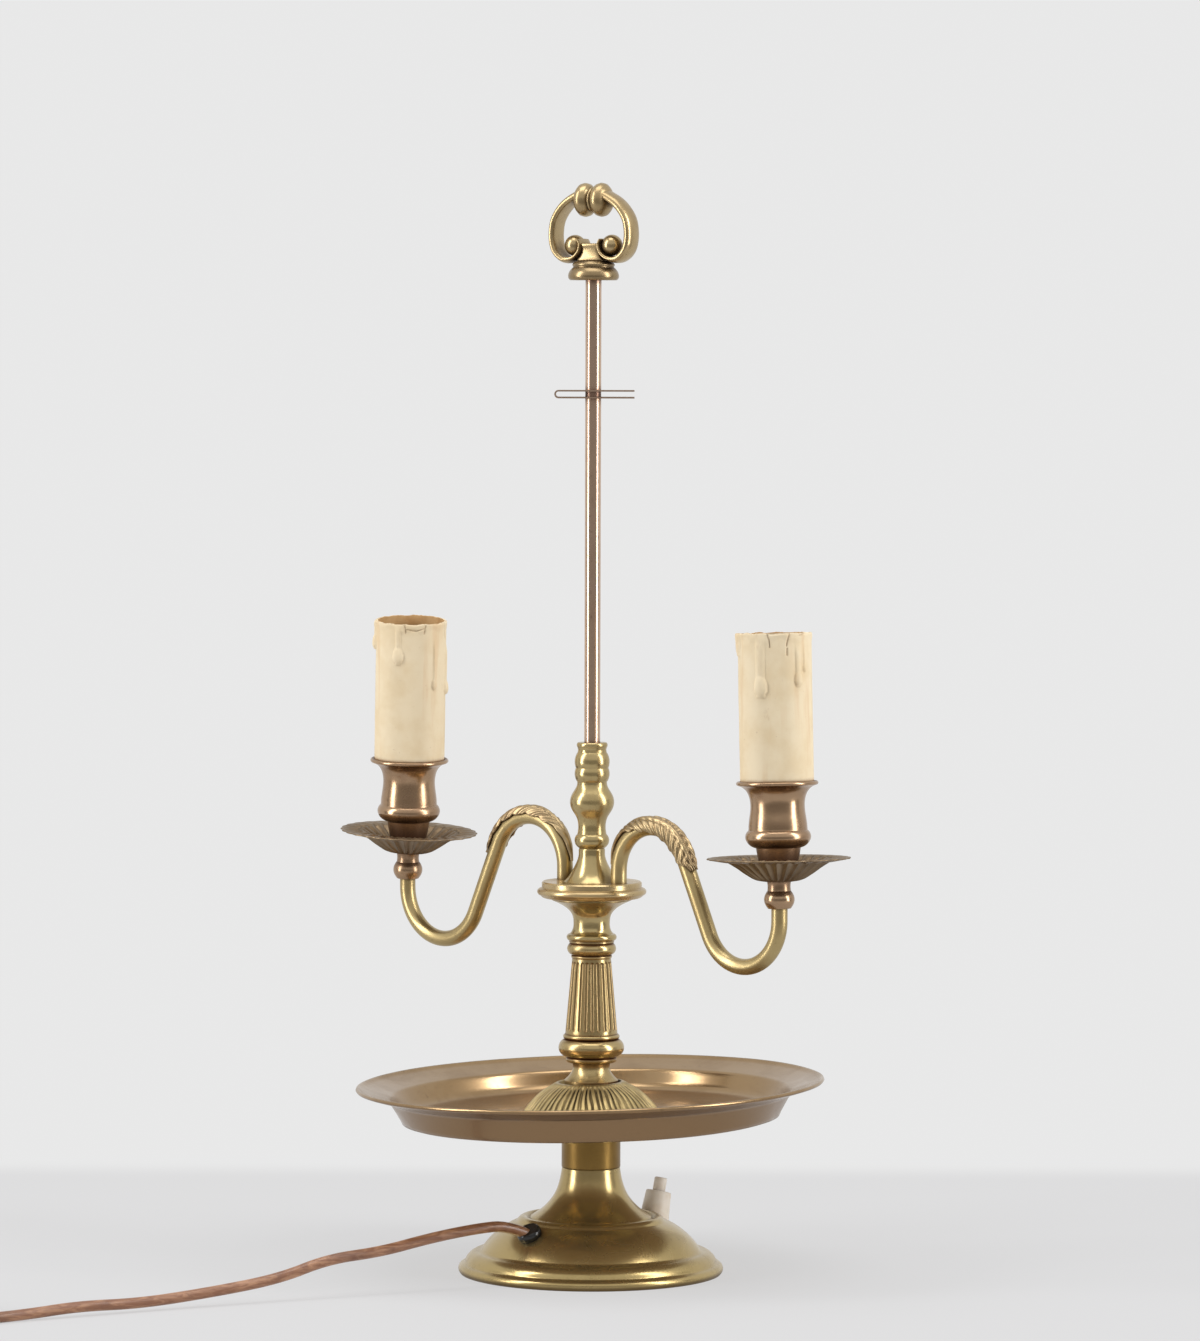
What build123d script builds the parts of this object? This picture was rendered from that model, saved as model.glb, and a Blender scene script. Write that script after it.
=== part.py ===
from build123d import *
import os
from math import asin, atan2, cos, degrees, hypot, pi, radians, sin, sqrt, tan

# Two-light bouillotte lamp: hollow turned foot, dished tray, fluted column, two bent candle arms, a shade rod
# with a sliding spring clip and a ring-handled finial.
# Millimetres. +Z is up and the origin is the middle of the foot's resting face. The two arms lie along X, the
# cord leaves towards -Y and the push switch stands at +Y.
# Turned outlines are (radius, height) pairs, with the height counted from the piece's own seat.

# ---------------------------------------------------------------------------------------------- fits
thread_gap = 0.05           # radial, between a screw thread and its tapped hole
slide_gap = 0.06            # radial, between a sliding piece and its guide
rod_hole_gap = 0.3          # radial, where the tie rod passes through a piece
loose_gap = 0.3             # between loose neighbours that only rest on each other

# ---------------------------------------------------------------------------------------------- foot
foot_rim_radius = 65.6
foot_rim_bulge = 1.0
foot_rim_height = 5.3
foot_step_radius = 63.3
foot_step_height = 11.0
foot_ledge_radius = 57.4
foot_arc_radius = 37.8      # of the dome's outline
foot_arc_centre = (23.4, -8.9)
foot_dome_bottom = 11.3
foot_dome_top = 26.2
foot_neck_radius = 14.5
foot_height = 53.6
foot_wall = 2.6
foot_ring_width = 4.6       # flat ring that the lamp stands on
foot_bore_radius = 10.0     # hollow of the neck, holds the washer and the nut
foot_deck = 8.6             # solid top of the neck

# ---------------------------------------------------------------------------------------------- tie rod
tie_radius = 5.0
tie_bore = 3.6
tie_nut_width = 14.0        # across flats
tie_nut_height = 6.0
tie_washer_radius = 9.4
tie_washer_thickness = 2.0
tie_bottom_spare = 2.0      # thread that shows below the nut
tie_top_engagement = 7.0    # thread inside the baluster

# ---------------------------------------------------------------------------------------------- tray group
collar_radius = 14.8
collar_height = 16.9
support_radius = 36.9
support_top_radius = 33.0
support_height = 7.6
support_recess = 0.8        # depth of the collar's seat in the underside
tray_lean = 1.5             # the old tray sits a little askew on its seat, degrees
tray_lean_heading = 43.0    # direction of its raised side, degrees from +X
sheet = 1.2
tray_rim_radius = 117.8
tray_lip_width = 16.8       # sloping lip between the rim and the top of the wall
tray_wall_spread = 5.5      # the wall leans outwards by this much
tray_wall_height = 11.9
tray_height = 19.0
tray_bead_radius = 1.15
rosette_radius = 35.2
rosette_height = 17.8
rosette_opening = 15.6
rosette_wall = 2.4
rosette_boss_radius = 11.8
rosette_boss_height = 16.7
rosette_base = 2.2
rosette_ribs = 60
rosette_groove_depth = 0.8
rosette_groove_share = 0.42  # of each rib's pitch

# ---------------------------------------------------------------------------------------------- column
column_foot_radius = 13.5
column_height = 72.4
column_bead_radius = 16.5
shaft_bottom_radius = 13.1
shaft_top_radius = 9.75
shaft_bottom = 26.0
shaft_top = 63.3
flute_count = 24
flute_radius = 1.15
flute_depth = 0.65
flute_end_gap = 2.2

# ---------------------------------------------------------------------------------------------- hub
hub_cup_height = 21.4
hub_cup_radius = 20.3
hub_cup_wall = 1.9
hub_ring_radius = 12.6
hub_plate_height = 8.2
hub_plate_radius = 27.4
hub_top_radius = 25.1

# ---------------------------------------------------------------------------------------------- stem
baluster_height = 69.8
baluster_base_radius = 14.0
baluster_belly_radius = 11.1
rod_radius = 4.0
rod_visible = 231.1         # from the baluster's lip to the finial
rod_socket = 12.0           # of the rod, inside the baluster
rod_tip = 8.0               # of the rod, inside the finial
clip_length = 40.0
clip_width = 12.0
clip_thickness = 0.8
clip_leaf_gap = 2.6
clip_offset = 0.6           # the rod stands this far from the clip's middle
clip_height = 174.3         # middle of the clip above the baluster's lip, at rest
clip_turn = 43.0            # direction of the clip's open end, degrees from +X

# ---------------------------------------------------------------------------------------------- finial
finial_flange_radius = 12.6
finial_base_height = 9.2
handle_turn = 13.0          # plane of the ring handle, degrees from +X
handle_half_width = 23.4
handle_height = 39.3
handle_strap = 3.8
handle_depth = 9.0
handle_plinth_half = 7.4
handle_plinth_height = 8.6
knot_radius = 8.5
knot_bead_length = 8.3
ball_radius = 4.8
ball_offset = 10.6          # from the handle's middle
ball_height = 8.2

# ---------------------------------------------------------------------------------------------- arms
arm_radius = 4.0
arm_bore = 2.6
arm_root = 18.5             # from the lamp's axis
arm_socket = 5.5
arch_radius_right = 22.9    # the two arms were bent by hand and differ a little
arch_radius_left = 24.0
arch_centre_height = 6.4    # above the hub plate
valley_radius_right = 24.0
valley_radius_left = 25.5
valley_drop_right = 6.3     # of the valley's centre, below the knob
valley_drop_left = 4.1
arm_reach_right = 125.4     # from the lamp's axis to the candle's axis
arm_reach_left = 130.0
arm_end_gap = 0.6           # between the tube's end and the bottom of the knob's socket
flex_radius = 1.8

# ---------------------------------------------------------------------------------------------- leaf
leaf_gap = 0.3              # between leaf and tube
leaf_thickness = 2.2
leaf_start = 168.0          # angles on the arch, from its outer side over the crest
leaf_end = 28.0
leaf_wrap = 82.0            # half of the tube's section that the leaf covers, degrees
leaf_lobes = 6
leaf_notch = 2.0

# ---------------------------------------------------------------------------------------------- candle end
end_height_right = 191.6    # underside of the knobs above the table
end_height_left = 190.9
end_lean_right = 2.3        # the candle ends lean in towards the lamp, degrees
end_lean_left = 3.0
end_nod_right = -0.6        # and towards -Y, degrees
end_nod_left = 2.0
knob_radius = 7.5
knob_neck_radius = 5.6
knob_height = 13.1
knob_socket = 6.4
nipple_radius = 4.0
nipple_bore = 2.6
nipple_cup_length = 6.0
bobeche_radius = 35.3
bobeche_bowl_radius = 25.2
bobeche_height = 11.0
bobeche_sheet = 1.0
bobeche_waves = 28
cup_stem_bottom = 8.6
cup_stem_top = 11.0
cup_stem_height = 15.6
cup_bead_radius = 16.1
cup_waist_radius = 13.3
cup_rim_radius = 20.1
cup_height = 48.1
cup_wall = 1.3
cup_floor = 3.0
sleeve_radius = 18.0
sleeve_wall = 1.3
sleeve_height = 74.4
sleeve_seat_depth = 1.7     # below the cup's rim

# ---------------------------------------------------------------------------------------------- lampholder
holder_stem_radius = 5.0
holder_stem_bore = 3.4
holder_stem_length = 70.0
holder_stem_engagement = 9.0
holder_engagement = 6.0     # of the stem, inside the holder's base
holder_floor = 7.0
holder_base_radius = 13.6
holder_neck_radius = 8.4
holder_base_wall = 1.2
insulator_height = 9.0
insulator_groove = 0.4      # the insulator's foot inside the base cup, radial gap
shell_bore = 11.4           # takes a bayonet cap of 22 mm
shell_wall = 1.3
shell_height = 24.0
shell_relief = 0.6          # wider bore round the contacts, radial
shell_relief_height = 7.0
slot_width = 2.8
slot_depth = 8.0
slot_foot = 4.5             # the side leg of the bayonet slot
contact_radius = 1.9
contact_spacing = 9.0
contact_stand = 4.5         # above the insulator
contact_travel = 2.0
contact_tail = 1.0
contact_shoulder = 0.7

# ---------------------------------------------------------------------------------------------- switch
switch_offset = 46.8        # from the lamp's axis, at the dome
switch_lean = 14.0          # outwards, degrees
barrel_bottom_radius = 7.6
barrel_top_radius = 6.4
barrel_height = 15.6        # above the point where its axis meets the dome
barrel_skirt = 9.0          # below that point, down the dome's slope
barrel_shank = 4.6          # below the foot's wall, down to the case
button_radius = 3.2
button_stand = 7.0
button_travel = 2.5
button_foot = 6.0
switch_case_radius = 5.9
switch_case_height = 8.0

# ---------------------------------------------------------------------------------------------- cord
cord_diameter = 5.4
grommet_offset = 44.0       # from the lamp's axis, at the dome
grommet_radius = 6.2
grommet_ring = 1.9
grommet_neck_radius = 5.0
# The cord's route: out of the grommet, down to the table in loose waves and on to the coil.
cord_route = [
    (0.5, -42.3, 22.2), (-3.2, -56.1, 29.1), (-8.8, -74.0, 28.6), (-17.5, -98.0, 25.4), (-26.5, -123.0, 20.4),
    (-36.0, -150.0, 18.7), (-44.5, -175.0, 10.8), (-57.0, -210.0, 6.6), (-69.0, -245.0, 3.9),
    (-79.0, -275.0, 4.9), (-88.0, -304.0, 2.7), (-99.5, -349.1, 2.7),
]
coil_centre = (-138.0, -336.0)
coil_outer = 40.7           # centre line of the widest turn
coil_inner = 21.8
coil_layers = 2
# The cord's last stretch, from the top turn of the coil down to the plug.
tail_route = [(-138.0, -376.7, 8.1), (-154.0, -378.2, 8.1), (-169.0, -377.4, 8.1), (-184.0, -374.0, 8.1)]
plug_sleeve = 13.0
plug_length = 34.0
plug_width = 34.0
plug_thickness = 16.2
plug_shoulder = 3.0         # bevel on the cord's side
pin_radius = 2.4
pin_length = 19.0
pin_spacing = 19.0
pin_tip = 1.44              # rounding of the pins' ends
pin_root = 8.0              # of each pin, inside the plug's body
pin_root_radius = 1.9
pin_neck = 0.4              # of the thin root, outside the plug's face

# ---------------------------------------------------------------------------------------------- stacking
cord_radius = cord_diameter / 2
tray_wall_radius = tray_rim_radius - tray_lip_width
tray_floor_radius = tray_wall_radius - tray_wall_spread
foot_neck_root = foot_dome_top + 1.0
collar_seat = foot_height
support_seat = collar_seat + collar_height
tray_seat = support_seat - support_recess + support_height
tray_floor = tray_seat + sheet
column_seat = tray_floor + rosette_boss_height
hub_cup_seat = column_seat + column_height
hub_plate_seat = hub_cup_seat + hub_cup_height
hub_top = hub_plate_seat + hub_plate_height
stem_top = hub_top + baluster_height
finial_seat = stem_top + rod_visible
handle_seat = finial_seat + finial_base_height
knot_height = handle_height - knot_radius
bobeche_seat = knob_height
cup_seat = bobeche_seat + bobeche_sheet
cup_rim = cup_seat + cup_height
sleeve_seat = cup_rim - sleeve_seat_depth
holder_stem_seat = cup_seat + cup_stem_height - holder_stem_engagement
holder_seat = holder_stem_seat + holder_stem_length - holder_engagement
insulator_seat = holder_seat + holder_floor + contact_tail + contact_travel + 1.0
well_floor = insulator_seat + insulator_height
shell_seat = well_floor

# By side: 1 is the right end, at +X, and -1 the left one.
arch_radius = {1: arch_radius_right, -1: arch_radius_left}
arm_reach = {1: arm_reach_right, -1: arm_reach_left}
end_height = {1: end_height_right, -1: end_height_left}
valley_radius = {1: valley_radius_right, -1: valley_radius_left}
valley_drop = {1: valley_drop_right, -1: valley_drop_left}
end_lean = {1: end_lean_right, -1: end_lean_left}
end_nod = {1: end_nod_right, -1: end_nod_left}

up = Axis.Z


# ---------------------------------------------------------------------------------------------- helpers
def arc(via, to):
    """Arc through one point to the next, as a step of an outline."""
    return "arc", via, to


def smooth(*points):
    """One smooth curve through the points, as a step of an outline."""
    return "smooth", *points


def outline(*steps):
    """Closed face from a start point and steps; a plain point is a straight run."""
    here, edges = steps[0], []
    for step in steps[1:]:
        if step[0] == "arc":
            edges.append(ThreePointArc(here, step[1], step[2]))
            here = step[2]
        elif step[0] == "smooth":
            edges.append(Spline(here, *step[1:]))
            here = step[-1]
        else:
            edges.append(Line(here, step))
            here = step
    edges.append(Line(here, steps[0]))
    return make_face(Curve() + edges)


def turned(*steps, height=0.0):
    """Solid of revolution from an outline of (radius, height) steps, standing at a height."""
    return Pos(0, 0, height) * revolve(Plane.XZ * outline(*steps), up)


def post(radius, bottom, top):
    """Upright cylinder from one height to another."""
    return Pos(0, 0, bottom) * Cylinder(radius, top - bottom, align=(Align.CENTER, Align.CENTER, Align.MIN))


def tube(radius, bore, bottom, top):
    return post(radius, bottom, top) - post(bore, bottom - 1, top + 1)


def hexagon(width, radius, bottom, top):
    """Hexagonal nut with a plain bore."""
    blank = Pos(0, 0, bottom) * extrude(RegularPolygon(width / 2, 6, major_radius=False), top - bottom)
    return blank - post(radius, bottom - 1, top + 1)


def tube_along(path, radius):
    """Round solid along a path that starts where the path does."""
    return sweep(Plane(origin=path @ 0, z_dir=path % 0) * Circle(radius), path)


def route_path(points):
    """Straight runs joined by tangent arcs, each as large as its two runs allow, and the arcs' radii."""
    radii = []
    for before, here, after in zip(points, points[1:], points[2:]):
        into, out = Vector(*here) - Vector(*before), Vector(*after) - Vector(*here)
        half_turn = radians(into.get_angle(out)) / 2
        radii.append(0.45 * min(into.length, out.length) / tan(half_turn))
    return FilletPolyline(*points, radius=radii), radii


def save(name, shape):
    shape.label = name
    export_step(shape, f"parts/{name}.step")


# ---------------------------------------------------------------------------------------------- foot
def on_dome(radius, depth=0.0):
    """Point of the dome's outline at a radius, or of the same arc set inwards by a depth."""
    across = radius - foot_arc_centre[0]
    return radius, foot_arc_centre[1] + sqrt((foot_arc_radius - depth) ** 2 - across ** 2)


def dome_radius_at(height, depth=0.0):
    rise = height - foot_arc_centre[1]
    return foot_arc_centre[0] + sqrt((foot_arc_radius - depth) ** 2 - rise ** 2)


def foot_skin():
    """Outline steps of the foot's outside, from the rim up to the neck's root."""
    ledge = (foot_ledge_radius, foot_step_height)
    dome_start, dome_end = dome_radius_at(foot_dome_bottom), dome_radius_at(foot_dome_top)
    return [
        (foot_rim_radius, 0.0),
        arc((foot_rim_radius + foot_rim_bulge, 2.4), (foot_step_radius, foot_rim_height)),
        arc((foot_step_radius - 2.2, foot_step_height - 2.4), ledge),
        (dome_start, foot_dome_bottom),
        arc(on_dome((dome_start + dome_end) / 2), (dome_end, foot_dome_top)),
        arc((34.4, foot_dome_top + 1.5), (32.0, foot_neck_root)),
    ]


def foot_body():
    deck = foot_height - foot_deck
    hole = tie_radius + rod_hole_gap
    under_ledge = foot_step_height - foot_wall + 0.6
    inner_start, inner_end = dome_radius_at(foot_dome_bottom, foot_wall), 33.0
    return turned(
        *foot_skin(),
        smooth((30.0, foot_neck_root + 0.6), (25.5, 31.3), (20.4, 35.9), (16.9, 40.5), (15.2, 46.7),
               (foot_neck_radius, foot_height)),
        (hole, foot_height), (hole, deck), (foot_bore_radius, deck), (foot_bore_radius, deck - 3.0),
        smooth((13.0, 39.0), (17.0, 34.4), (22.6, 29.9), (29.0, 25.6)),
        on_dome(inner_end, foot_wall),
        arc(on_dome((inner_start + inner_end) / 2, foot_wall), (inner_start, foot_dome_bottom)),
        (foot_ledge_radius - foot_ring_width, under_ledge),
        (foot_step_radius - foot_ring_width, foot_rim_height),
        (foot_rim_radius - foot_ring_width, 1.0), (foot_rim_radius - foot_ring_width, 0.0),
    )


def foot_blank():
    """The foot's outside as one solid lump, to seat pieces on its dome."""
    return turned((0, 0), *foot_skin(), (0, foot_neck_root))


# ---------------------------------------------------------------------------------------------- tie rod
def tie_pieces():
    deck = foot_height - foot_deck
    nut_top = deck - tie_washer_thickness
    nut_bottom = nut_top - tie_nut_height
    rod = tube(tie_radius, tie_bore, nut_bottom - tie_bottom_spare, hub_top + tie_top_engagement)
    wire_exit = Pos(0, 0, hub_cup_seat + hub_cup_height / 2) * Rot(0, 90, 0) * Cylinder(2.2, 4 * tie_radius)
    return {
        "tie_rod": rod - wire_exit,
        "tie_rod_washer": tube(tie_washer_radius, tie_radius + rod_hole_gap, nut_top, deck),
        "tie_rod_nut": hexagon(tie_nut_width, tie_radius + thread_gap, nut_bottom, nut_top),
    }


# ---------------------------------------------------------------------------------------------- tray group
def askew(shape):
    """A piece of the tray group, leaning about the middle of its seat on the collar."""
    axis = Axis((0, 0, support_seat), (sin(radians(tray_lean_heading)), -cos(radians(tray_lean_heading)), 0))
    return shape.rotate(axis, tray_lean)


def tray_support():
    bottom = support_seat - support_recess
    disc = turned(
        (0, 0), (support_radius - 1.6, 0), arc((support_radius, 1.1), (support_radius - 1.6, 2.2)),
        arc((support_radius - 3.4, 3.6), (support_top_radius, support_height - 1.4)),
        (support_top_radius, support_height), (0, support_height),
        height=bottom,
    )
    seat = post(collar_radius + loose_gap, bottom - 2, support_seat)
    return askew(disc) - seat - post(tie_radius + rod_hole_gap, bottom - 2, tray_seat + 3)


def tray():
    bead = tray_bead_radius
    bead_height = tray_height - bead
    slope = (bead_height - tray_wall_height) / (tray_rim_radius - tray_wall_radius)
    lip_inner = tray_wall_radius + 2.0
    lip_end = tray_rim_radius - bead
    floor_radius, wall_radius, wall_top = tray_floor_radius, tray_wall_radius, tray_wall_height
    under = [
        (0, 0), (floor_radius - 2.5, 0), arc((floor_radius - 0.6, 0.6), (floor_radius + 0.3, 2.6)),
        (wall_radius - 0.4, wall_top - 1.0),
        arc((wall_radius + 0.4, wall_top), (lip_inner, wall_top + slope * 2.0)),
        (lip_end, bead_height - bead),
    ]
    rolled_rim = [
        arc((tray_rim_radius, bead_height), (lip_end, tray_height)),
        arc((lip_end - bead * sqrt(0.5), bead_height + bead * sqrt(0.5)), (lip_end - bead, bead_height)),
    ]
    over = [
        (lip_inner - 0.6, wall_top + slope * 1.4 + sheet),
        arc((wall_radius - 0.8, wall_top + 0.5), (wall_radius - 1.7, wall_top - 0.8)),
        (floor_radius - 1.0, 2.8), arc((floor_radius - 1.7, sheet + 0.4), (floor_radius - 3.2, sheet)),
        (0, sheet),
    ]
    dish = turned(*under, *rolled_rim, *over, height=tray_seat)
    return askew(dish) - post(tie_radius + rod_hole_gap, tray_seat - 5, tray_seat + 5)


def rosette():
    shoulder = (19.1, rosette_height - 1.1)
    mid_dome = (31.2, 6.6)
    shell = turned(
        (0, 0), (rosette_radius, 0), (rosette_radius, 0.6), arc(mid_dome, shoulder),
        arc((17.6, rosette_height - 0.2), (rosette_opening, rosette_height)),
        (rosette_opening, rosette_height - rosette_wall), (shoulder[0] - 0.9, shoulder[1] - rosette_wall),
        arc((mid_dome[0] - 2.6, mid_dome[1] - 0.9), (rosette_radius - 3.0, rosette_base)),
        (0, rosette_base),
        height=tray_floor,
    )
    boss = post(rosette_boss_radius, tray_floor + 0.5, column_seat + 2)
    groove = turned(
        (rosette_radius + 2, 1.6), (rosette_radius - 1.0, 1.6), arc((30.6, 6.2), (20.0, 15.4)), (22.0, 18.4),
        (rosette_radius + 2, 18.4),
        height=tray_floor,
    )
    half_angle = 180 / rosette_ribs * rosette_groove_share
    slice_plan = make_face(Polyline((0, 0), (60, -60 * tan(radians(half_angle))),
                                    (60, 60 * tan(radians(half_angle))), close=True))
    slices = PolarLocations(0, rosette_ribs) * extrude(Pos(0, 0, tray_floor) * slice_plan, 20)
    groove_cuts = Part() + [groove & one for one in slices]
    ribbed = askew(shell - groove_cuts + boss)
    return (
        ribbed - post(rosette_boss_radius + 3, column_seat, column_seat + 6)
        - post(tie_radius + rod_hole_gap, tray_floor - 5, column_seat + 5)
    )


# ---------------------------------------------------------------------------------------------- column
def column():
    body = turned(
        (0, 0), (column_foot_radius, 0), (column_foot_radius, 1.9), smooth((10.9, 4.6), (9.2, 8.8), (9.6, 10.6)),
        (11.9, 11.0), arc((12.7, 12.4), (11.9, 13.8)),
        arc((column_bead_radius, 18.4), (shaft_bottom_radius, 22.8)),
        arc((shaft_bottom_radius + 1.1, 24.0), (shaft_bottom_radius, 25.2)), (shaft_bottom_radius, shaft_bottom),
        (shaft_top_radius, shaft_top),
        arc((shaft_top_radius + 0.5, shaft_top + 0.9), (shaft_top_radius, shaft_top + 1.8)),
        arc((12.3, shaft_top + 4.8), (10.9, shaft_top + 7.6)), (11.3, shaft_top + 8.2), (11.3, column_height),
        (0, column_height),
        height=column_seat,
    )
    narrowing = shaft_bottom_radius - shaft_top_radius
    shaft = shaft_top - shaft_bottom
    run = shaft - 2 * flute_end_gap
    start = shaft_bottom_radius - narrowing * flute_end_gap / shaft
    flute = Cylinder(flute_radius, run, align=(Align.CENTER, Align.CENTER, Align.MIN)) + Sphere(flute_radius)
    flute += Pos(0, 0, run) * Sphere(flute_radius)
    place = Pos(start + flute_radius - flute_depth, 0, column_seat + shaft_bottom + flute_end_gap)
    placed = place * Rot(0, -degrees(atan2(narrowing, shaft)), 0) * flute
    flutes = Part() + [Rot(0, 0, 360 * n / flute_count) * placed for n in range(flute_count)]
    return body - flutes - post(tie_radius + rod_hole_gap, column_seat - 1, hub_cup_seat + 1)


# ---------------------------------------------------------------------------------------------- hub
def hub_cup():
    outer = turned(
        (0, 0), (hub_ring_radius - 1.0, 0), arc((hub_ring_radius, 1.6), (11.0, 3.3)),
        smooth((9.6, 5.4), (9.15, 9.0), (9.9, 13.0), (11.6, 15.3), (16.4, 18.6), (hub_cup_radius - 0.4, 20.2)),
        (hub_cup_radius, 20.5), (hub_cup_radius, hub_cup_height), (0, hub_cup_height),
        height=hub_cup_seat,
    )
    mouth = hub_cup_radius - hub_cup_wall
    chamber = turned(
        (0, 5.0), (7.0, 5.0), smooth((7.2, 9.0), (9.6, 15.5), (mouth, hub_cup_height)),
        (mouth, hub_cup_height + 1), (0, hub_cup_height + 1),
        height=hub_cup_seat,
    )
    return outer - chamber - post(tie_radius + rod_hole_gap, hub_cup_seat - 1, hub_cup_seat + 6)


def hub_plate():
    lip = hub_plate_radius
    plate = turned(
        (0, 0), (lip - 4.5, 0), arc((lip - 2.3, 0.5), (lip - 1.5, 1.4)), arc((lip, 3.1), (lip - 1.7, 4.8)),
        (hub_top_radius, 5.2), (hub_top_radius, hub_plate_height - 0.6), (hub_top_radius - 0.6, hub_plate_height),
        (0, hub_plate_height),
        height=hub_plate_seat,
    )
    spots = [Pos(side * arm_root, 0, 0) for side in (1, -1)]
    sockets = [spot * post(arm_radius + thread_gap, hub_top - arm_socket, hub_top + 1) for spot in spots]
    wire_holes = [spot * post(arm_bore, hub_plate_seat - 1, hub_top) for spot in spots]
    return plate - sockets - wire_holes - post(tie_radius + rod_hole_gap, hub_plate_seat - 1, hub_top + 1)


# ---------------------------------------------------------------------------------------------- stem
def baluster():
    body = turned(
        (0, 0), (baluster_base_radius, 0),
        smooth((12.3, 1.7), (9.4, 6.2), (7.3, 10.6), (6.6, 13.4)), (6.6, 16.0), (6.3, 16.6), (7.2, 17.4),
        arc((8.7, 20.6), (7.3, 23.8)), (7.0, 25.6),
        smooth((6.9, 28.4), (7.9, 32.4), (10.1, 36.0), (baluster_belly_radius, 40.0), (9.9, 44.2), (7.9, 47.6),
               (7.5, 50.0)),
        arc((8.8, 54.0), (8.2, 57.0)), arc((8.75, 60.9), (7.3, 64.9)), (7.1, 66.2), (7.4, 67.4),
        arc((7.75, 68.6), (7.2, baluster_height)), (0, baluster_height),
        height=hub_top,
    )
    lower = post(tie_radius + thread_gap, hub_top - 1, hub_top + tie_top_engagement + 0.5)
    upper = post(rod_radius + thread_gap, stem_top - rod_socket, stem_top + 1)
    return body - lower - upper


def shade_clip():
    """Folded strip: two leaves joined by a round fold, both gripping the rod."""
    fold_radius = clip_leaf_gap / 2 + clip_thickness
    height = clip_leaf_gap + 2 * clip_thickness
    straight = clip_length - fold_radius
    left = -clip_length / 2 + clip_offset + fold_radius
    outer = Pos(left + straight / 2, 0) * Rectangle(straight, height) + Pos(left, 0) * Circle(fold_radius)
    inner = Pos(left + straight / 2 + 1, 0) * Rectangle(straight + 2, clip_leaf_gap)
    inner += Pos(left, 0) * Circle(clip_leaf_gap / 2)
    strip = extrude(Plane.XZ * (outer - inner), clip_width / 2, both=True)
    strip -= post(rod_radius + slide_gap, -height, height)
    return Pos(0, 0, stem_top + clip_height) * Rot(0, 0, clip_turn) * strip


def finial_base():
    body = turned(
        (0, 0), (finial_flange_radius - 1.0, 0),
        smooth((finial_flange_radius, 1.2), (12.5, 3.4), (11.5, 5.2), (10.2, 6.4)), (10.2, 6.8),
        arc((10.6, 7.6), (10.1, 8.5)), (9.4, finial_base_height), (0, finial_base_height),
        height=finial_seat,
    )
    return body - post(rod_radius + thread_gap, finial_seat - 1, finial_seat + rod_tip)


def handle_scroll():
    """One C scroll, flat: its outside from the knot down to the plinth, its inside back round the ball's curl."""
    half, strap = handle_half_width, handle_strap
    side = handle_plinth_half - 1.0
    return outline(
        (4.0, 36.7), smooth((8.0, 34.9), (15.8, 30.4), (half - 2.1, 22.9), (half, 15.4), (half - 0.6, 7.9),
                            (half - 2.6, 2.9), (17.6, 0.3), (14.0, -0.9), (11.0, 0.1)),
        (9.0, 0), (side, 0), (side, handle_plinth_height), (9.4, 9.1),
        smooth((8.6, 6.3), (10.4, 3.0), (13.6, 2.0), (16.8, 4.1), (half - strap - 0.7, 8.1), (half - strap, 14.1),
               (half - strap - 0.7, 20.1), (15.0, 26.3), (9.5, 30.5), (4.5, 32.6)),
    )


def finial_handle():
    """Ring of two C scrolls that curl round balls, with a knot of two beads on top and a plinth below."""
    side = extrude(Plane.XZ * handle_scroll(), handle_depth / 2, both=True)
    side += Pos(ball_offset, 0, ball_height) * Sphere(ball_radius)
    plinth = extrude(Rectangle(2 * handle_plinth_half, handle_depth), handle_plinth_height)
    bead = outline(
        (0, 0), (5.6, 0), arc((knot_radius, knot_bead_length / 2), (5.2, knot_bead_length)), (0, knot_bead_length))
    knot = Rot(0, 90, 0) * revolve(Plane.XZ * bead, up)
    both = side + side.mirror(Plane.YZ) + plinth
    both += Pos(0, 0, knot_height) * (knot + knot.mirror(Plane.YZ))
    return Pos(0, 0, handle_seat) * Rot(0, 0, handle_turn) * both


# ---------------------------------------------------------------------------------------------- arms
def arm_line(side):
    """An arm's centre line, drawn towards +X: up from the hub, over the arch, through the valley to the knob."""
    crown, sag, reach = arch_radius[side], valley_radius[side], arm_reach[side]
    arch = Vector(arm_root + crown, 0, hub_top + arch_centre_height)
    valley = Vector(reach - sag, 0, end_height[side] - valley_drop[side])
    between = valley - arch
    slope = atan2(between.Z, between.X)
    turn = asin((crown + sag) / hypot(between.X, between.Z))
    fall = slope - turn
    across = Vector(-sin(fall), 0, cos(fall))
    leave, meet = arch + across * crown, valley - across * sag
    low = Vector(cos((fall - pi / 2) / 2 - pi / 4), 0, sin((fall - pi / 2) / 2 - pi / 4))
    crest = Vector(cos(3 * pi / 4 + fall / 4), 0, sin(3 * pi / 4 + fall / 4))
    root = Vector(arm_root, 0, hub_top - arm_socket)
    end = Vector(reach, 0, end_height[side] + knob_socket - arm_end_gap)
    return Wire([
        Line(root, (arm_root, 0, arch.Z)),
        ThreePointArc((arm_root, 0, arch.Z), arch + crest * crown, leave),
        Line(leave, meet),
        ThreePointArc(meet, valley + low * sag, (reach, 0, valley.Z)),
        Line((reach, 0, valley.Z), end),
    ])


def arm(side):
    line = arm_line(side)
    start = Plane(origin=line @ 0, z_dir=line % 0)
    return on_side(side, sweep(start * (Circle(arm_radius) - Circle(arm_bore)), line))


def arm_flex(side):
    """The twin wire inside the arm, from the hub's chamber to the knob."""
    line = arm_line(side)
    below = Line((arm_root, 0, hub_plate_seat + 0.5), line @ 0)
    return on_side(side, tube_along(Wire([below] + line.edges()), flex_radius))


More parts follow.
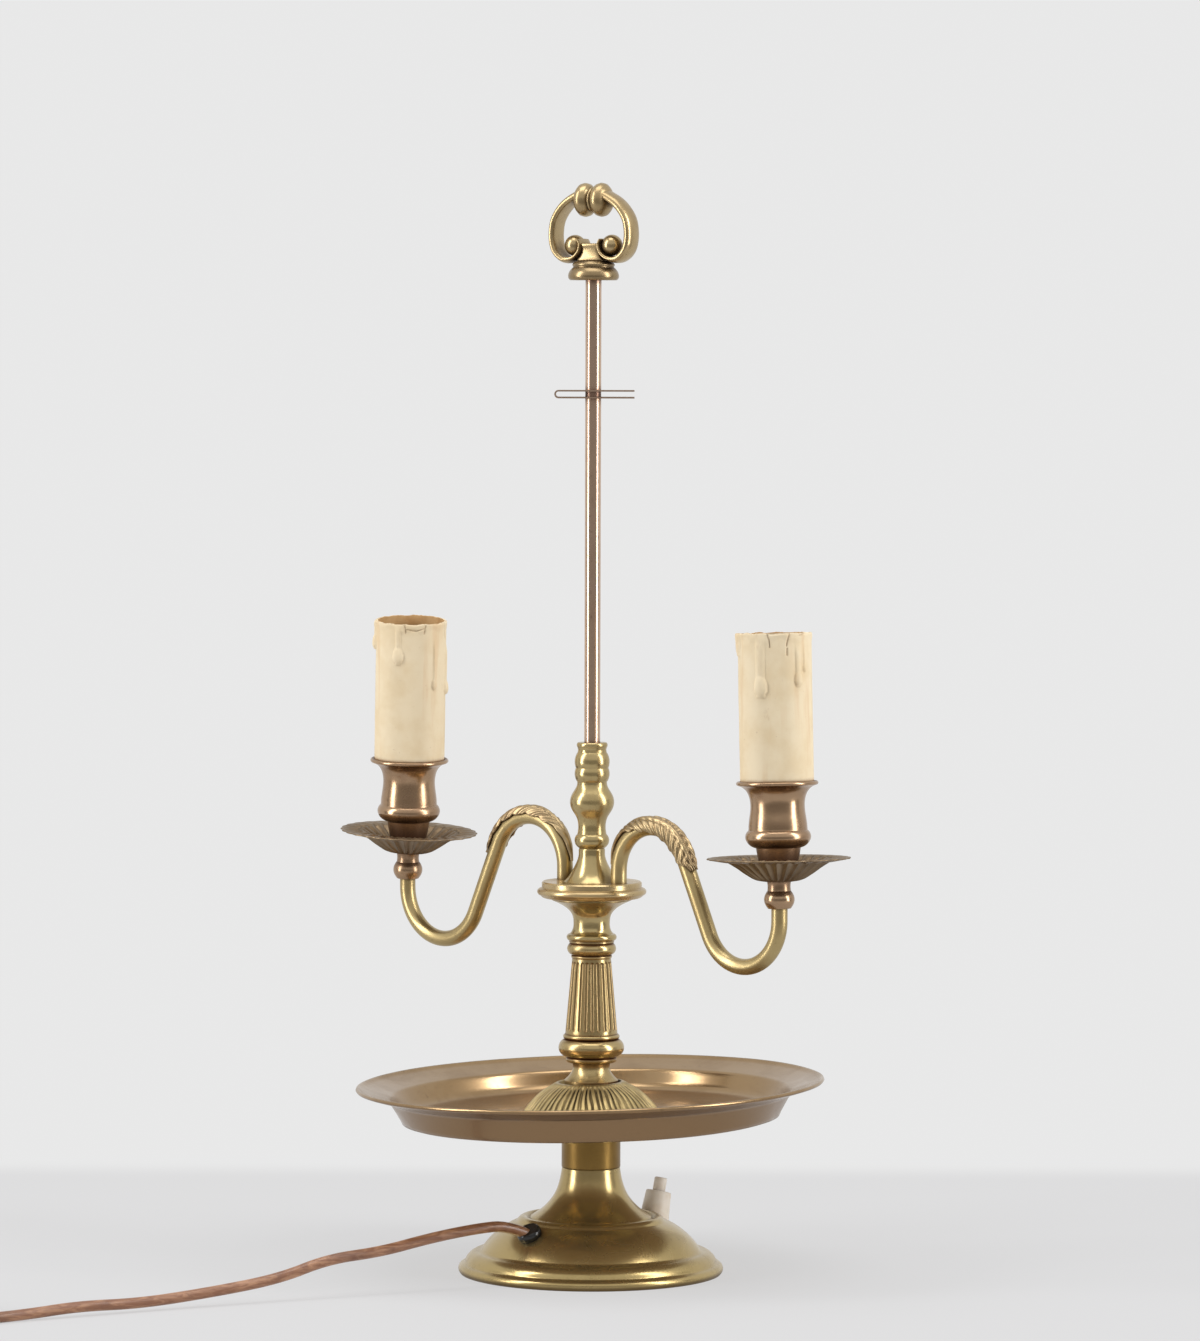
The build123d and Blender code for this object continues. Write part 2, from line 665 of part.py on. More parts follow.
def leaf(side):
    """Acanthus leaf that wraps the top of the tube over the arch; notches part its lobes."""
    crown = arch_radius[side]
    inner, outer = arm_radius + leaf_gap, arm_radius + leaf_gap + leaf_thickness
    edge = cos(radians(leaf_wrap)) * outer
    section = Circle(outer) - Circle(inner) - Pos(0, edge - outer) * Rectangle(3 * outer, 2 * outer)
    placed = Plane(origin=(crown, 0, 0), x_dir=(0, -1, 0), z_dir=(0, 0, 1)) * section
    hoop = revolve(placed, Axis((0, 0, 0), (0, -1, 0)), leaf_start - leaf_end)
    hoop = hoop.rotate(Axis((0, 0, 0), (0, -1, 0)), leaf_end)
    step = (leaf_start - leaf_end) / (leaf_lobes + 1)
    notches = [Rot(0, -leaf_end - lobe * step, 0) * Pos(crown, 0, 0) * Rot(90, 0, 0)
               * Cylinder(leaf_notch, 4 * outer) for lobe in range(1, leaf_lobes + 1)]
    return on_side(side, Pos(arm_root + crown, 0, hub_top + arch_centre_height) * (hoop - notches))


def on_side(side, shape):
    """A piece drawn for the right arm, turned half round the lamp's axis where it belongs to the left one."""
    return shape if side > 0 else shape.rotate(up, 180)


def end_frame(side):
    """Where a candle end stands: at the knob's underside on the arm's end, with its own lean."""
    return Pos(side * arm_reach[side], 0, end_height[side]) * Rot(end_nod[side], -side * end_lean[side], 0)


# ---------------------------------------------------------------------------------------------- candle ends
def knob(side):
    """Turned knob, drilled for the upright end of its arm and tapped from above for the nipple."""
    body = turned(
        (0, 0), (5.6, 0), smooth((knob_radius, 4.5), (5.8, 8.6)),
        smooth((knob_neck_radius, 10.4), (5.9, knob_height)), (0, knob_height),
    )
    body -= post(arm_bore, 0, knob_height) + post(nipple_radius + thread_gap, knob_socket + 0.6, knob_height + 1)
    upright = Pos(side * arm_reach[side], 0, end_height[side])
    return end_frame(side) * body - upright * post(arm_radius + thread_gap, -2, knob_socket)


def nipple():
    return tube(nipple_radius, nipple_bore, knob_socket + 0.6, cup_seat + nipple_cup_length)


def bobeche():
    """Thin drip pan: a fluted bowl with a flat, wavy-edged flange."""
    t = bobeche_sheet
    pan = turned(
        (0, 0), (7.0, 0),
        smooth((11.4, 1.4), (16.8, 4.6), (20.9, 7.5), (bobeche_bowl_radius, bobeche_height - t)),
        (bobeche_radius, bobeche_height), (bobeche_radius, bobeche_height + 0.7),
        (bobeche_bowl_radius - 0.6, bobeche_height),
        smooth((20.3, 8.4), (16.2, 5.45), (10.9, 2.4), (6.8, t)), (0, t),
        height=bobeche_seat,
    )
    bite = 2 * pi * bobeche_radius / bobeche_waves / 2
    bites = [Rot(0, 0, 360 * n / bobeche_waves) * Pos(bobeche_radius + 0.72 * bite, 0, 0)
             * post(bite, bobeche_seat + 5, bobeche_seat + bobeche_height + 4) for n in range(bobeche_waves)]
    return pan - (Part() + bites) - post(nipple_radius + rod_hole_gap, bobeche_seat - 1, bobeche_seat + t + 1)


def cup():
    seat = cup_height - sleeve_seat_depth
    body = turned(
        (0, 0), (cup_stem_bottom - 2.2, 0), (cup_stem_bottom, 2.4), (cup_stem_top, cup_stem_height),
        arc((14.0, 17.0), (cup_bead_radius - 0.6, 18.8)), arc((cup_bead_radius, 21.0), (14.5, 24.2)), (14.4, 24.9),
        smooth((14.2, 28.0), (cup_waist_radius, 36.0), (15.2, 43.4), (cup_rim_radius - 1.0, cup_height - 2.0)),
        arc((cup_rim_radius, cup_height - 1.0), (cup_rim_radius - 0.8, cup_height)), (0, cup_height),
        height=cup_seat,
    )
    floor = cup_stem_height + cup_floor
    hollow = turned(
        (0, floor), (12.6, floor), (13.0, 24.0),
        smooth((12.8, 29.0), (cup_waist_radius - cup_wall, 36.0), (13.9, 43.4), (16.2, seat)),
        (sleeve_radius + loose_gap, seat), (sleeve_radius + loose_gap, cup_height + 1), (0, cup_height + 1),
        height=cup_seat,
    )
    lower = post(nipple_radius + thread_gap, cup_seat - 1, cup_seat + nipple_cup_length)
    upper = post(holder_stem_radius + thread_gap, holder_stem_seat, cup_seat + floor + 1)
    return body - hollow - lower - upper - post(nipple_bore, cup_seat, cup_seat + floor)


def candle_sleeve():
    return tube(sleeve_radius, sleeve_radius - sleeve_wall, sleeve_seat, sleeve_seat + sleeve_height)


def lampholder_stem():
    return tube(holder_stem_radius, holder_stem_bore, holder_stem_seat, holder_stem_seat + holder_stem_length)


def lampholder_base():
    """Brass cup that screws on the stem and holds the insulator."""
    height = well_floor - holder_seat
    body = turned(
        (0, 0), (holder_neck_radius, 0), (holder_neck_radius, 4.0), (holder_base_radius, 8.0),
        (holder_base_radius, height), (0, height),
        height=holder_seat,
    )
    inside = post(holder_base_radius - holder_base_wall, insulator_seat, well_floor + 1)
    well = post(holder_neck_radius, holder_seat + holder_floor, insulator_seat + 1)
    return body - inside - well - post(holder_stem_radius + thread_gap, holder_seat - 1, insulator_seat)


def lampholder_insulator():
    body = post(holder_base_radius - holder_base_wall - insulator_groove, insulator_seat, well_floor)
    hole = post(contact_radius + slide_gap, insulator_seat - 1, well_floor + 1)
    return body - [Pos(0, side * contact_spacing / 2, 0) * hole for side in (1, -1)]


def lampholder_shell():
    """Bayonet shell: a tube with two J slots and a wider bore round the contacts."""
    top = shell_seat + shell_height
    body = tube(shell_bore + shell_wall, shell_bore, shell_seat, top)
    body -= post(shell_bore + shell_relief, shell_seat, shell_seat + shell_relief_height)
    slot = Pos(0, 0, top - slot_depth / 2) * Box(4 * shell_bore, slot_width, slot_depth)
    body -= slot
    for side in (0, 180):
        foot = Pos(shell_bore, slot_foot / 2, top - slot_depth) * Box(4, slot_foot, slot_width)
        body -= Rot(0, 0, side) * foot
    return body


def contacts():
    """Two sprung plungers with rounded tips, held by a shoulder under the insulator."""
    plunger = post(contact_radius, insulator_seat - contact_tail, well_floor + contact_stand)
    plunger = fillet(plunger.edges().group_by(Axis.Z)[-1], contact_radius / 2)
    plunger += post(contact_radius + contact_shoulder, insulator_seat - contact_tail, insulator_seat - 0.1)
    return Part() + [Pos(0, side * contact_spacing / 2, 0) * plunger for side in (1, -1)]


# ---------------------------------------------------------------------------------------------- switch
def switch_frame():
    """The switch's own axis: its origin on the dome at +Y, +Z outwards along the button."""
    return Pos(0, *on_dome(switch_offset)) * Rot(-switch_lean, 0, 0)


def switch_pieces(foot):
    place = switch_frame()
    shank_radius = switch_case_radius - 1.0
    case_top = -foot_wall - barrel_shank
    outside = turned(
        (0, -barrel_skirt), (barrel_bottom_radius, -barrel_skirt), (barrel_bottom_radius, -0.5),
        (barrel_top_radius + 0.1, barrel_height - 1.0),
        arc((barrel_top_radius - 0.2, barrel_height - 0.2), (barrel_top_radius - 1.0, barrel_height)),
        (0, barrel_height),
    )
    barrel = place * outside - foot_blank() + place * post(shank_radius, case_top, 6)
    bore = post(button_radius + slide_gap, barrel_height - button_foot - button_travel - 0.4, barrel_height + 1)
    button = post(button_radius, barrel_height - button_foot, barrel_height + button_stand)
    button = chamfer(button.edges().group_by(Axis.Z)[-1], 0.5)
    return {
        "switch_barrel": barrel - place * bore,
        "switch_button": place * button,
        "switch_case": place * post(switch_case_radius, case_top - switch_case_height, case_top),
        "foot": foot - place * post(shank_radius + thread_gap, -20, 10),
    }


# ---------------------------------------------------------------------------------------------- cord
def cord_exit():
    """First point of the cord and the unit direction in which it leaves the foot."""
    start, second = Vector(*cord_route[0]), Vector(*cord_route[1])
    return start, (second - start).normalized()


def grommet_frame():
    radius, height = on_dome(grommet_offset)
    normal = (0, foot_arc_centre[0] - radius, height - foot_arc_centre[1])
    return Plane(origin=(0, -radius, height), x_dir=(1, 0, 0), z_dir=normal)


def grommet():
    """Rubber ring on the dome with a neck through it, bored along the cord."""
    place = grommet_frame()
    ring = turned(
        (0, -1.0), (grommet_radius - 0.4, -1.0), (grommet_radius - 0.4, 0),
        arc((grommet_radius, grommet_ring), (grommet_radius - 0.9, 2 * grommet_ring)), (0, 2 * grommet_ring),
    )
    neck = post(grommet_neck_radius, -foot_wall - 1.4, grommet_ring)
    flange = post(grommet_neck_radius + 1.2, -foot_wall - 2.6, -foot_wall - 1.4)
    start, heading = cord_exit()
    along = Plane(origin=start, z_dir=heading).location
    bore = along * (post(cord_radius + thread_gap, 0, 20) + post(flex_radius + loose_gap, -20, 1))
    return (place.location * ring - foot_blank()) + place.location * (neck + flange) - bore


def cord():
    path, radii = route_path(cord_route)
    print("cord arc radii:", [round(r, 1) for r in radii])
    body = tube_along(path, cord_radius)
    print(f"cord volume {body.volume:.0f}, section times length {pi * cord_radius ** 2 * path.length:.0f}")
    return body


def cord_tail():
    path, radii = route_path(tail_route)
    print("tail arc radii:", [round(r, 1) for r in radii])
    return tube_along(path, cord_radius)


def cord_coil():
    inner, outer = coil_inner - cord_radius, coil_outer + cord_radius
    return Pos(*coil_centre, 0) * tube(outer, inner, 0, coil_layers * cord_diameter)


def plug_frame():
    """The plug's axis: from the cord's last point along its heading, +Z along the pins, +Y up."""
    heading = (Vector(*tail_route[-1]) - Vector(*tail_route[-2])).normalized()
    return Plane(origin=tail_route[-1], x_dir=heading.cross(Vector(0, 0, 1)), z_dir=heading)


def plug_pieces():
    place = plug_frame().location
    body = Pos(0, 0, plug_sleeve) * extrude(RectangleRounded(plug_width, plug_thickness, 5), plug_length)
    body = chamfer(body.faces().sort_by(Axis.Z)[0].edges(), plug_shoulder)
    sleeve = turned((0, 0), (cord_radius + 1.2, 0), (cord_radius + 2.6, plug_sleeve + 2), (0, plug_sleeve + 2))
    end = plug_sleeve + plug_length
    pin_places = [Pos(side * pin_spacing / 2, 0, 0) for side in (1, -1)]
    pin = post(pin_radius, end + pin_neck, end + pin_length)
    pin = fillet(pin.edges().group_by(Axis.Z)[-1], pin_tip)
    pin += post(pin_root_radius, end - pin_root, end + pin_neck)
    bores = [spot * post(pin_root_radius, end - pin_root, end + 1) for spot in pin_places]
    return {
        "plug_body": place * (body + sleeve - bores),
        "plug_pins": place * (Part() + [spot * pin for spot in pin_places]),
    }


# ---------------------------------------------------------------------------------------------- inner wiring
def stem_flex():
    """Twin wire up one side of the tie rod's bore to the hub's chamber."""
    wire = post(flex_radius, foot_height - foot_deck - 14, hub_plate_seat - 1)
    return Pos(tie_bore - flex_radius - loose_gap, 0, 0) * wire


def foot_flex():
    """Twin wire from the cord's end, along the hollow of the foot, to the switch."""
    start, heading = cord_exit()
    inside = start - heading * 9
    case_side = Vector(0, switch_offset - 13, 6.5)
    path = FilletPolyline(start, inside, (-17, -16, 10), (-19, 10, 8), (-9, 28, 6), case_side, radius=5)
    return tube_along(path, flex_radius)


# ---------------------------------------------------------------------------------------------- assembly
def build():
    os.makedirs("parts", exist_ok=True)
    pieces = dict(switch_pieces(foot_body()))
    foot_hole = grommet_frame().location * post(grommet_neck_radius + thread_gap, -20, 10)
    pieces["foot"] -= foot_hole
    pieces.update(tie_pieces())
    pieces["collar"] = tube(collar_radius, tie_radius + rod_hole_gap, collar_seat, support_seat)
    pieces["tray_support"] = tray_support()
    pieces["tray"] = tray()
    pieces["rosette"] = rosette()
    pieces["column"] = column()
    pieces["hub_cup"] = hub_cup()
    pieces["hub_plate"] = hub_plate()
    pieces["baluster"] = baluster()
    pieces["shade_rod"] = post(rod_radius, stem_top - rod_socket, finial_seat + rod_tip)
    pieces["shade_clip"] = shade_clip()
    pieces["finial_base"] = finial_base()
    pieces["finial_handle"] = finial_handle()

    end_pieces = {
        "nipple": nipple(), "bobeche": bobeche(), "cup": cup(), "candle_sleeve": candle_sleeve(),
        "lampholder_stem": lampholder_stem(), "lampholder_base": lampholder_base(),
        "lampholder_insulator": lampholder_insulator(), "lampholder_shell": lampholder_shell(),
        "contacts": contacts(),
    }
    for side, word in ((1, "right"), (-1, "left")):
        pieces[f"arm_{word}"] = arm(side)
        pieces[f"arm_flex_{word}"] = arm_flex(side)
        pieces[f"leaf_{word}"] = leaf(side)
        pieces[f"knob_{word}"] = knob(side)
        for name, shape in end_pieces.items():
            pieces[f"{name}_{word}"] = end_frame(side) * shape

    pieces["cord_grommet"] = grommet()
    pieces["cord"] = cord()
    pieces["cord_coil"] = cord_coil()
    pieces["cord_tail"] = cord_tail()
    pieces.update(plug_pieces())
    pieces["stem_flex"] = stem_flex()
    pieces["foot_flex"] = foot_flex()

    for name, shape in pieces.items():
        save(name, shape)


build()
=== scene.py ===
from math import cos, degrees, pi, radians, sin

import bpy
from mathutils import Matrix, Vector, noise


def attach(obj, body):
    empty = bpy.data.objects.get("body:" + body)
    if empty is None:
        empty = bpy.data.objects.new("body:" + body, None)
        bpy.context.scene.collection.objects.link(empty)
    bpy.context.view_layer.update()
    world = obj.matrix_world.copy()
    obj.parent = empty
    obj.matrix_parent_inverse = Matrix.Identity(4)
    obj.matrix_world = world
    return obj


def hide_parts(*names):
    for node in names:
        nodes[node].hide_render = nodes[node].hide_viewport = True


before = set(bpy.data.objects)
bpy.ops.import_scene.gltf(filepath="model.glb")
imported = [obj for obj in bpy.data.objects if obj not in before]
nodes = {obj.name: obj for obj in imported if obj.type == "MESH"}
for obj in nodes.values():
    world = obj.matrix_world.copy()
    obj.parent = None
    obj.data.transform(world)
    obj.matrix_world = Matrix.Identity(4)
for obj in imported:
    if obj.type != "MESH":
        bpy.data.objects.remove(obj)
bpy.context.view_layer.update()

# ------------------------------------------------------------------------------------------ sizes
mm = 0.001

# camera, set against the lamp's upright axis
camera_turn = radians(43.0)         # from -Y towards +X
camera_distance = 3.1
camera_height = 0.4683
camera_pitch = radians(3.051)
camera_roll = radians(0.17)
camera_aside = 3.8 * mm
camera_focal = 186.0                # millimetres, on a film of the width below
camera_film = 36.0

# stage, measured from the lamp's axis
floor_behind = 0.43
floor_ahead = 0.90
floor_width = 2.0
floor_fade_behind = 0.10            # how far in from its far edge the floor fades into the backdrop
floor_fade = 0.40                   # the same at its other edges
floor_hem = 0.005                   # outermost strip, which is all backdrop
room_radius = 4.0                   # of the dark half of the room, round the camera's side
room_reach = radians(100.0)         # of that half, to each side of the camera's direction
room_steps = 24
room_foot = -3.0
room_top = 1.3
floor_tone = (0.785, 0.78, 0.78)    # this and the next as the camera sees them
backdrop_tone = (0.81, 0.81, 0.81)
# painted shade of the unlit room round the camera, on a sheet that only the metal shows
room_shade_tone = (0.32, 0.31, 0.30)
light_aim = Vector((0.0, 0.0, 0.6))

# cord, with the same route as the part's source
cord_diameter = 5.4 * mm
cord_route = [
    (0.5, -42.3, 22.2), (-3.2, -56.1, 29.1), (-8.8, -74.0, 28.6), (-17.5, -98.0, 25.4), (-26.5, -123.0, 20.4),
    (-36.0, -150.0, 18.7), (-44.5, -175.0, 10.8), (-57.0, -210.0, 6.6), (-69.0, -245.0, 3.9),
    (-79.0, -275.0, 4.9), (-88.0, -304.0, 2.7), (-99.5, -349.1, 2.7),
]
tail_route = [(-138.0, -376.7, 8.1), (-154.0, -378.2, 8.1), (-169.0, -377.4, 8.1), (-184.0, -374.0, 8.1)]
coil_centre = (-138.0, -336.0)
coil_outer = 40.7
coil_inner = 21.8
coil_start = -18.8                  # direction of the cord's first touch with the coil, degrees
coil_floor_turns = 3.5
coil_rise_turns = 0.35
coil_top_turns = 3.348
coil_points = 16                    # in each turn
coil_pull = 0.66                    # sets the control points out, because the curve cuts their corners

# candle ends, by side: 1 is the right end, at +X, and -1 the left one
arm_reach = {1: 125.4 * mm, -1: 130.0 * mm}         # of each candle's axis from the lamp's
end_height = {1: 191.6 * mm, -1: 190.9 * mm}        # of the knobs' undersides
end_lean = {1: radians(2.3), -1: radians(3.0)}      # in towards the lamp
end_nod = {1: radians(-0.6), -1: radians(2.0)}      # towards -Y
pan_tilt = {1: radians(0.4), -1: radians(1.5)}      # of the drip pans, down on the camera's right
bobeche_seat = 13.1 * mm            # above the knob's underside, as are the two below
sleeve_seat = 60.5 * mm
sleeve_height = 74.4 * mm
sleeve_radius = 18.0 * mm
sleeve_wall = 1.3 * mm

# candle sleeves' surface, in millimetres and degrees
sleeve_columns = 300
sleeve_detail = 44.0                # height below the rim that is divided finely, for drips and cracks
sleeve_step = 0.45
rim_slant = {1: 0.0, -1: 1.5}       # the front lip is cut lower by this
rim_rag = 0.55                      # of the broken lip
rim_lift = 0.35                     # thickness of the wax that hangs round the lip
# Wax drips: angle from the camera's side, top and foot below the sleeve's rim, half width, half width of
# the drop at the foot, thickness. Cracks: lines of (angle, depth below the rim).
drips = {
    "left": [(-86, 0, 16.5, 1.7, 2.6, 1.9), (-20, 3, 22.5, 1.5, 2.8, 1.6), (44, 12, 35.5, 0.9, 1.8, 1.1),
             (82, 14, 39, 1.4, 2.4, 1.8), (150, 0, 21, 1.5, 2.6, 1.5), (-135, 2, 30, 1.3, 2.4, 1.5)],
    "right": [(-82, 0, 11.5, 4.2, 4.6, 1.1), (-25, 4, 31.5, 2.5, 3.4, 1.7), (37, 8, 26.5, 1.6, 2.3, 1.4),
              (51, 8, 19.5, 0.8, 1.3, 0.9), (118, 0, 25, 1.5, 2.6, 1.6), (-150, 3, 17, 1.6, 2.5, 1.4)],
}
cracks = {
    "left": [[(-9, 0), (-7, 5)], [(-6, 3), (10, 4), (24, 2.5)], [(25, 1), (23, 5.5)], [(70, 0), (74, 9)]],
    "right": [[(-13, 0.5), (-10, 3.5), (-9, 7)], [(-13, 0.5), (22, 0.3)], [(22, 0.3), (19, 3.5), (17, 6.5)],
              [(40, 1.2), (52, 0.4)], [(18, 8), (17.5, 11)]],
}
crack_width = 0.45
crack_depth = 0.60

# drip pans, in millimetres
bobeche_flutes = 28
bowl_start = 7.0                    # radii of the fluted bowl and of the flange round it
bowl_edge = 25.4
flange_edge = 34.0
flute_depth = 1.3
flange_wave = 0.75
rim_scallop = 0.35

# arms and their leaves
arm_radius = 4.0 * mm
arm_root = 18.5 * mm
arch_radius = {1: 22.9 * mm, -1: 24.0 * mm}
arch_height = 203.6 * mm            # of the arch's centre
leaf_stem = 174.0                   # angles on the arch, degrees: stem near the lamp, tip on the outer side
leaf_tip = 2.0
arch_end = 24.5                     # where the arch runs on into the straight leg
leaf_rows = 220
leaf_columns = 48
leaf_lobes = 8.5
leaf_thickness = 1.5                # millimetres, as are the next two
vein_depth = 0.40
midrib_height = 0.55
lobe_share = 0.13                   # of the width, cut in between two lobes
vein_sweep = 2.2                    # lag of the veins at the leaf's edge, in veins
leaf_plain = 0.16                   # share of the length before the carving sets in
leaf_point_share = 0.10             # share of the length in which the stem thins out
curl_start = 0.93                   # share of the length at which the tip starts to curl off the arm
curl_length = 0.07
# Half of the leaf's width and its turn towards -Y, in degrees round the tube, by share of the length.
leaf_spread = ((0.0, 8), (0.1, 22), (0.22, 42), (0.34, 80), (0.46, 98), (0.6, 102), (0.78, 98), (0.9, 80),
               (1.0, 20))
leaf_twist = ((0.0, 0), (0.2, 0), (0.55, -24), (0.8, -30), (1.0, -20))

# foot, in millimetres
foot_columns = 256
dome_radius = 37.8                  # of its dome's outline
dome_centre = (23.4, -8.9)

# tray group
tray_lean = radians(1.5)
tray_pivot = 70.5 * mm
tray_seat = 77.3 * mm
tray_floor = 78.5 * mm
tray_columns = 288
tray_wave = 0.25                    # unevenness of the lip, millimetres
rosette_ribs = 60
rib_columns = 10                    # in each rib
rib_depth = 0.95                    # millimetres

# finial
handle_turn = radians(13.0)
handle_seat = 507.3 * mm
handle_depth = 12.0
ball_place = (10.6, 8.2)            # from the handle's middle and above its seat, millimetres
ball_radius = 5.3
knot_height = 30.8
knot_radius = 8.5
# One C scroll from the knot round to its curl under the ball: (across, up, half thickness), millimetres.
scroll_line = [
    (3.0, 34.9, 2.1), (8.4, 33.0, 2.3), (15.5, 28.5, 2.3), (20.5, 21.8, 2.2), (22.0, 14.8, 2.15),
    (21.4, 8.2, 2.15), (19.2, 3.9, 2.0), (15.5, 1.2, 1.8), (11.7, 1.1, 1.5), (8.3, 2.5, 1.25),
    (5.9, 5.2, 1.1), (5.2, 8.6, 0.95), (6.3, 11.2, 0.7),
]

toward_camera = Vector((sin(camera_turn), -cos(camera_turn), 0.0))
to_the_right = Vector((cos(camera_turn), sin(camera_turn), 0.0))


# ------------------------------------------------------------------------------------------ camera
def make_camera():
    """Camera at the photograph's angle and framing."""
    data = bpy.data.cameras.new("camera")
    data.sensor_fit = "HORIZONTAL"
    data.sensor_width = camera_film
    data.lens = camera_focal
    camera = bpy.data.objects.new("camera", data)
    bpy.context.scene.collection.objects.link(camera)
    place = toward_camera * camera_distance + to_the_right * camera_aside
    turn = Matrix.Rotation(camera_turn, 4, "Z") @ Matrix.Rotation(pi / 2 - camera_pitch, 4, "X")
    camera.matrix_world = (
        Matrix.Translation((place.x, place.y, camera_height)) @ turn @ Matrix.Rotation(camera_roll, 4, "Z"))
    bpy.context.scene.camera = camera


# ------------------------------------------------------------------------------------------ materials
class Shader:
    """A node material, with short calls for the nodes that the finishes here are made of."""

    def __init__(self, name):
        self.material = bpy.data.materials.new(name)
        self.material.use_nodes = True
        self.tree = self.material.node_tree
        self.bsdf = self.tree.nodes["Principled BSDF"]
        self.coordinates = self.tree.nodes.new("ShaderNodeTexCoord").outputs["Object"]

    def link(self, value, socket):
        """Feed a socket from another node's output, or set it to a colour, a vector or a number."""
        if hasattr(value, "is_output"):
            self.tree.links.new(value, socket)
        elif isinstance(value, tuple) and len(value) == 3 and socket.type == "RGBA":
            socket.default_value = (*value, 1.0)
        else:
            socket.default_value = value

    def set(self, **sockets):
        """Inputs of the surface's own shader, with _ for the spaces in their names."""
        for name, value in sockets.items():
            self.link(value, self.bsdf.inputs[name.replace("_", " ")])

    def scaled(self, scale):
        node = self.tree.nodes.new("ShaderNodeMapping")
        self.link(self.coordinates, node.inputs["Vector"])
        self.link(scale, node.inputs["Scale"])
        return node.outputs["Vector"]

    def noise(self, scale, detail=3.0, rough=0.55, stretch=None, distortion=0.0):
        node = self.tree.nodes.new("ShaderNodeTexNoise")
        self.link(self.scaled(stretch) if stretch else self.coordinates, node.inputs["Vector"])
        self.link(scale, node.inputs["Scale"])
        self.link(detail, node.inputs["Detail"])
        self.link(rough, node.inputs["Roughness"])
        self.link(distortion, node.inputs["Distortion"])
        return node.outputs["Fac"]

    def span(self, value, low, high, start=0.0, end=1.0):
        """The value's stretch from low to high, spread from start to end."""
        node = self.tree.nodes.new("ShaderNodeMapRange")
        node.interpolation_type = "SMOOTHSTEP"
        for name, given in zip(("Value", "From Min", "From Max", "To Min", "To Max"),
                               (value, low, high, start, end)):
            self.link(given, node.inputs[name])
        return node.outputs["Result"]

    def mix(self, factor, first, second):
        node = self.tree.nodes.new("ShaderNodeMix")
        node.data_type = "RGBA"
        self.link(factor, node.inputs["Factor"])
        self.link(first, node.inputs[6])
        self.link(second, node.inputs[7])
        return node.outputs[2]

    def math(self, operation, first, second=0.0):
        node = self.tree.nodes.new("ShaderNodeMath")
        node.operation = operation
        self.link(first, node.inputs[0])
        self.link(second, node.inputs[1])
        return node.outputs["Value"]

    def recess(self, reach):
        """1 in the open, falling towards 0 in grooves and corners narrower than the reach."""
        node = self.tree.nodes.new("ShaderNodeAmbientOcclusion")
        node.samples = 8
        self.link(reach, node.inputs["Distance"])
        return node.outputs["AO"]

    def facing_up(self):
        """1 where the surface faces up and -1 where it faces down."""
        node = self.tree.nodes.new("ShaderNodeSeparateXYZ")
        self.link(self.coordinates.node.outputs["Normal"], node.inputs["Vector"])
        return node.outputs["Z"]

    def bump(self, height, depth):
        """Bump of a real depth in metres, for a height between 0 and 1."""
        node = self.tree.nodes.new("ShaderNodeBump")
        self.link(1.0, node.inputs["Strength"])
        self.link(depth, node.inputs["Distance"])
        self.link(height, node.inputs["Height"])
        self.link(node.outputs["Normal"], self.bsdf.inputs["Normal"])


def aged_metal(name, bright, worn, dirt_and_shade, rough=(0.24, 0.36), dirt_and_shade_reach=6 * mm, dirt_and_shade_share=0.85,
               open_share=(0.35, 0.92), relief=0.015, rings=0.0, under=None, haze=0.10):
    """Old brass: worn patches over the bright metal, painted shade over a dirty deposit in the recesses, fine
    scratches and dents. Rough is the roughness of the bright and of the worn metal. Recesses are looked for
    within dirt_and_shade_reach. Where no more of the surroundings is open than the first of open_share, the
    dirt_and_shade colour covers dirt_and_shade_share of the metal as painted shade over that deposit, and
    from the second on it covers none. The same colour marks dirty specks. Relief and rings are the depths of
    the dents and of turning marks, in millimetres. Under is a darker colour for surfaces that face down. Haze
    is the dull share of the surface, which doesn't shine as metal."""
    shader = Shader(name)
    clouds = shader.noise(38.0, 5.0, 0.62, distortion=0.6)
    specks = shader.noise(420.0, 3.0, 0.6)
    colour = shader.mix(shader.span(clouds, 0.40, 0.68, 0.0, 0.75), bright, worn)
    if under:
        colour = shader.mix(shader.span(shader.facing_up(), -0.30, 0.15, 1.0, 0.0), colour, under)
    colour = shader.mix(shader.span(specks, 0.62, 0.76, 0.0, 0.35), colour, dirt_and_shade)
    # painted shade: recesses found by an occlusion test take the dark colour, laid over the dirty deposit
    # that old brass keeps in them
    hollow = shader.span(shader.recess(dirt_and_shade_reach), *open_share, dirt_and_shade_share, 0.0)
    colour = shader.mix(hollow, colour, dirt_and_shade)
    roughness = shader.span(clouds, 0.35, 0.70, rough[0], rough[1])
    roughness = shader.math("ADD", roughness, shader.math("MULTIPLY", hollow, 0.25))
    shader.set(Base_Color=colour, Metallic=1.0 - haze, Roughness=roughness)
    if rings:
        shader.bump(shader.noise(1.0, 2.0, 0.5, stretch=(4.0, 4.0, 2600.0)), rings * mm)
    else:
        scratches = shader.noise(900.0, 2.0, 0.5, stretch=(1.0, 1.0, 0.12))
        waves = shader.noise(70.0, 2.0, 0.5)
        shader.bump(shader.math("ADD", shader.math("MULTIPLY", scratches, 0.4), waves), relief * mm)
    return shader.material


def plastic(name, base, tint, rough=0.45):
    """Dull plastic or card: two close colours in clouds, painted shade in the recesses and a fine grain."""
    shader = Shader(name)
    clouds = shader.noise(120.0, 4.0, 0.6)
    # painted shade: recesses found by an occlusion test are darkened towards a dark copy of the tint
    recess_shade = shader.span(shader.recess(4 * mm), 0.4, 0.95, 0.6, 0.0)
    colour = shader.mix(shader.span(clouds, 0.40, 0.66), base, tint)
    colour = shader.mix(recess_shade, colour, tuple(0.45 * v for v in tint))
    shader.set(Base_Color=colour, Roughness=shader.span(clouds, 0.3, 0.7, rough - 0.06, rough + 0.08))
    shader.bump(shader.noise(1500.0, 2.0), 0.04 * mm)
    return shader.material


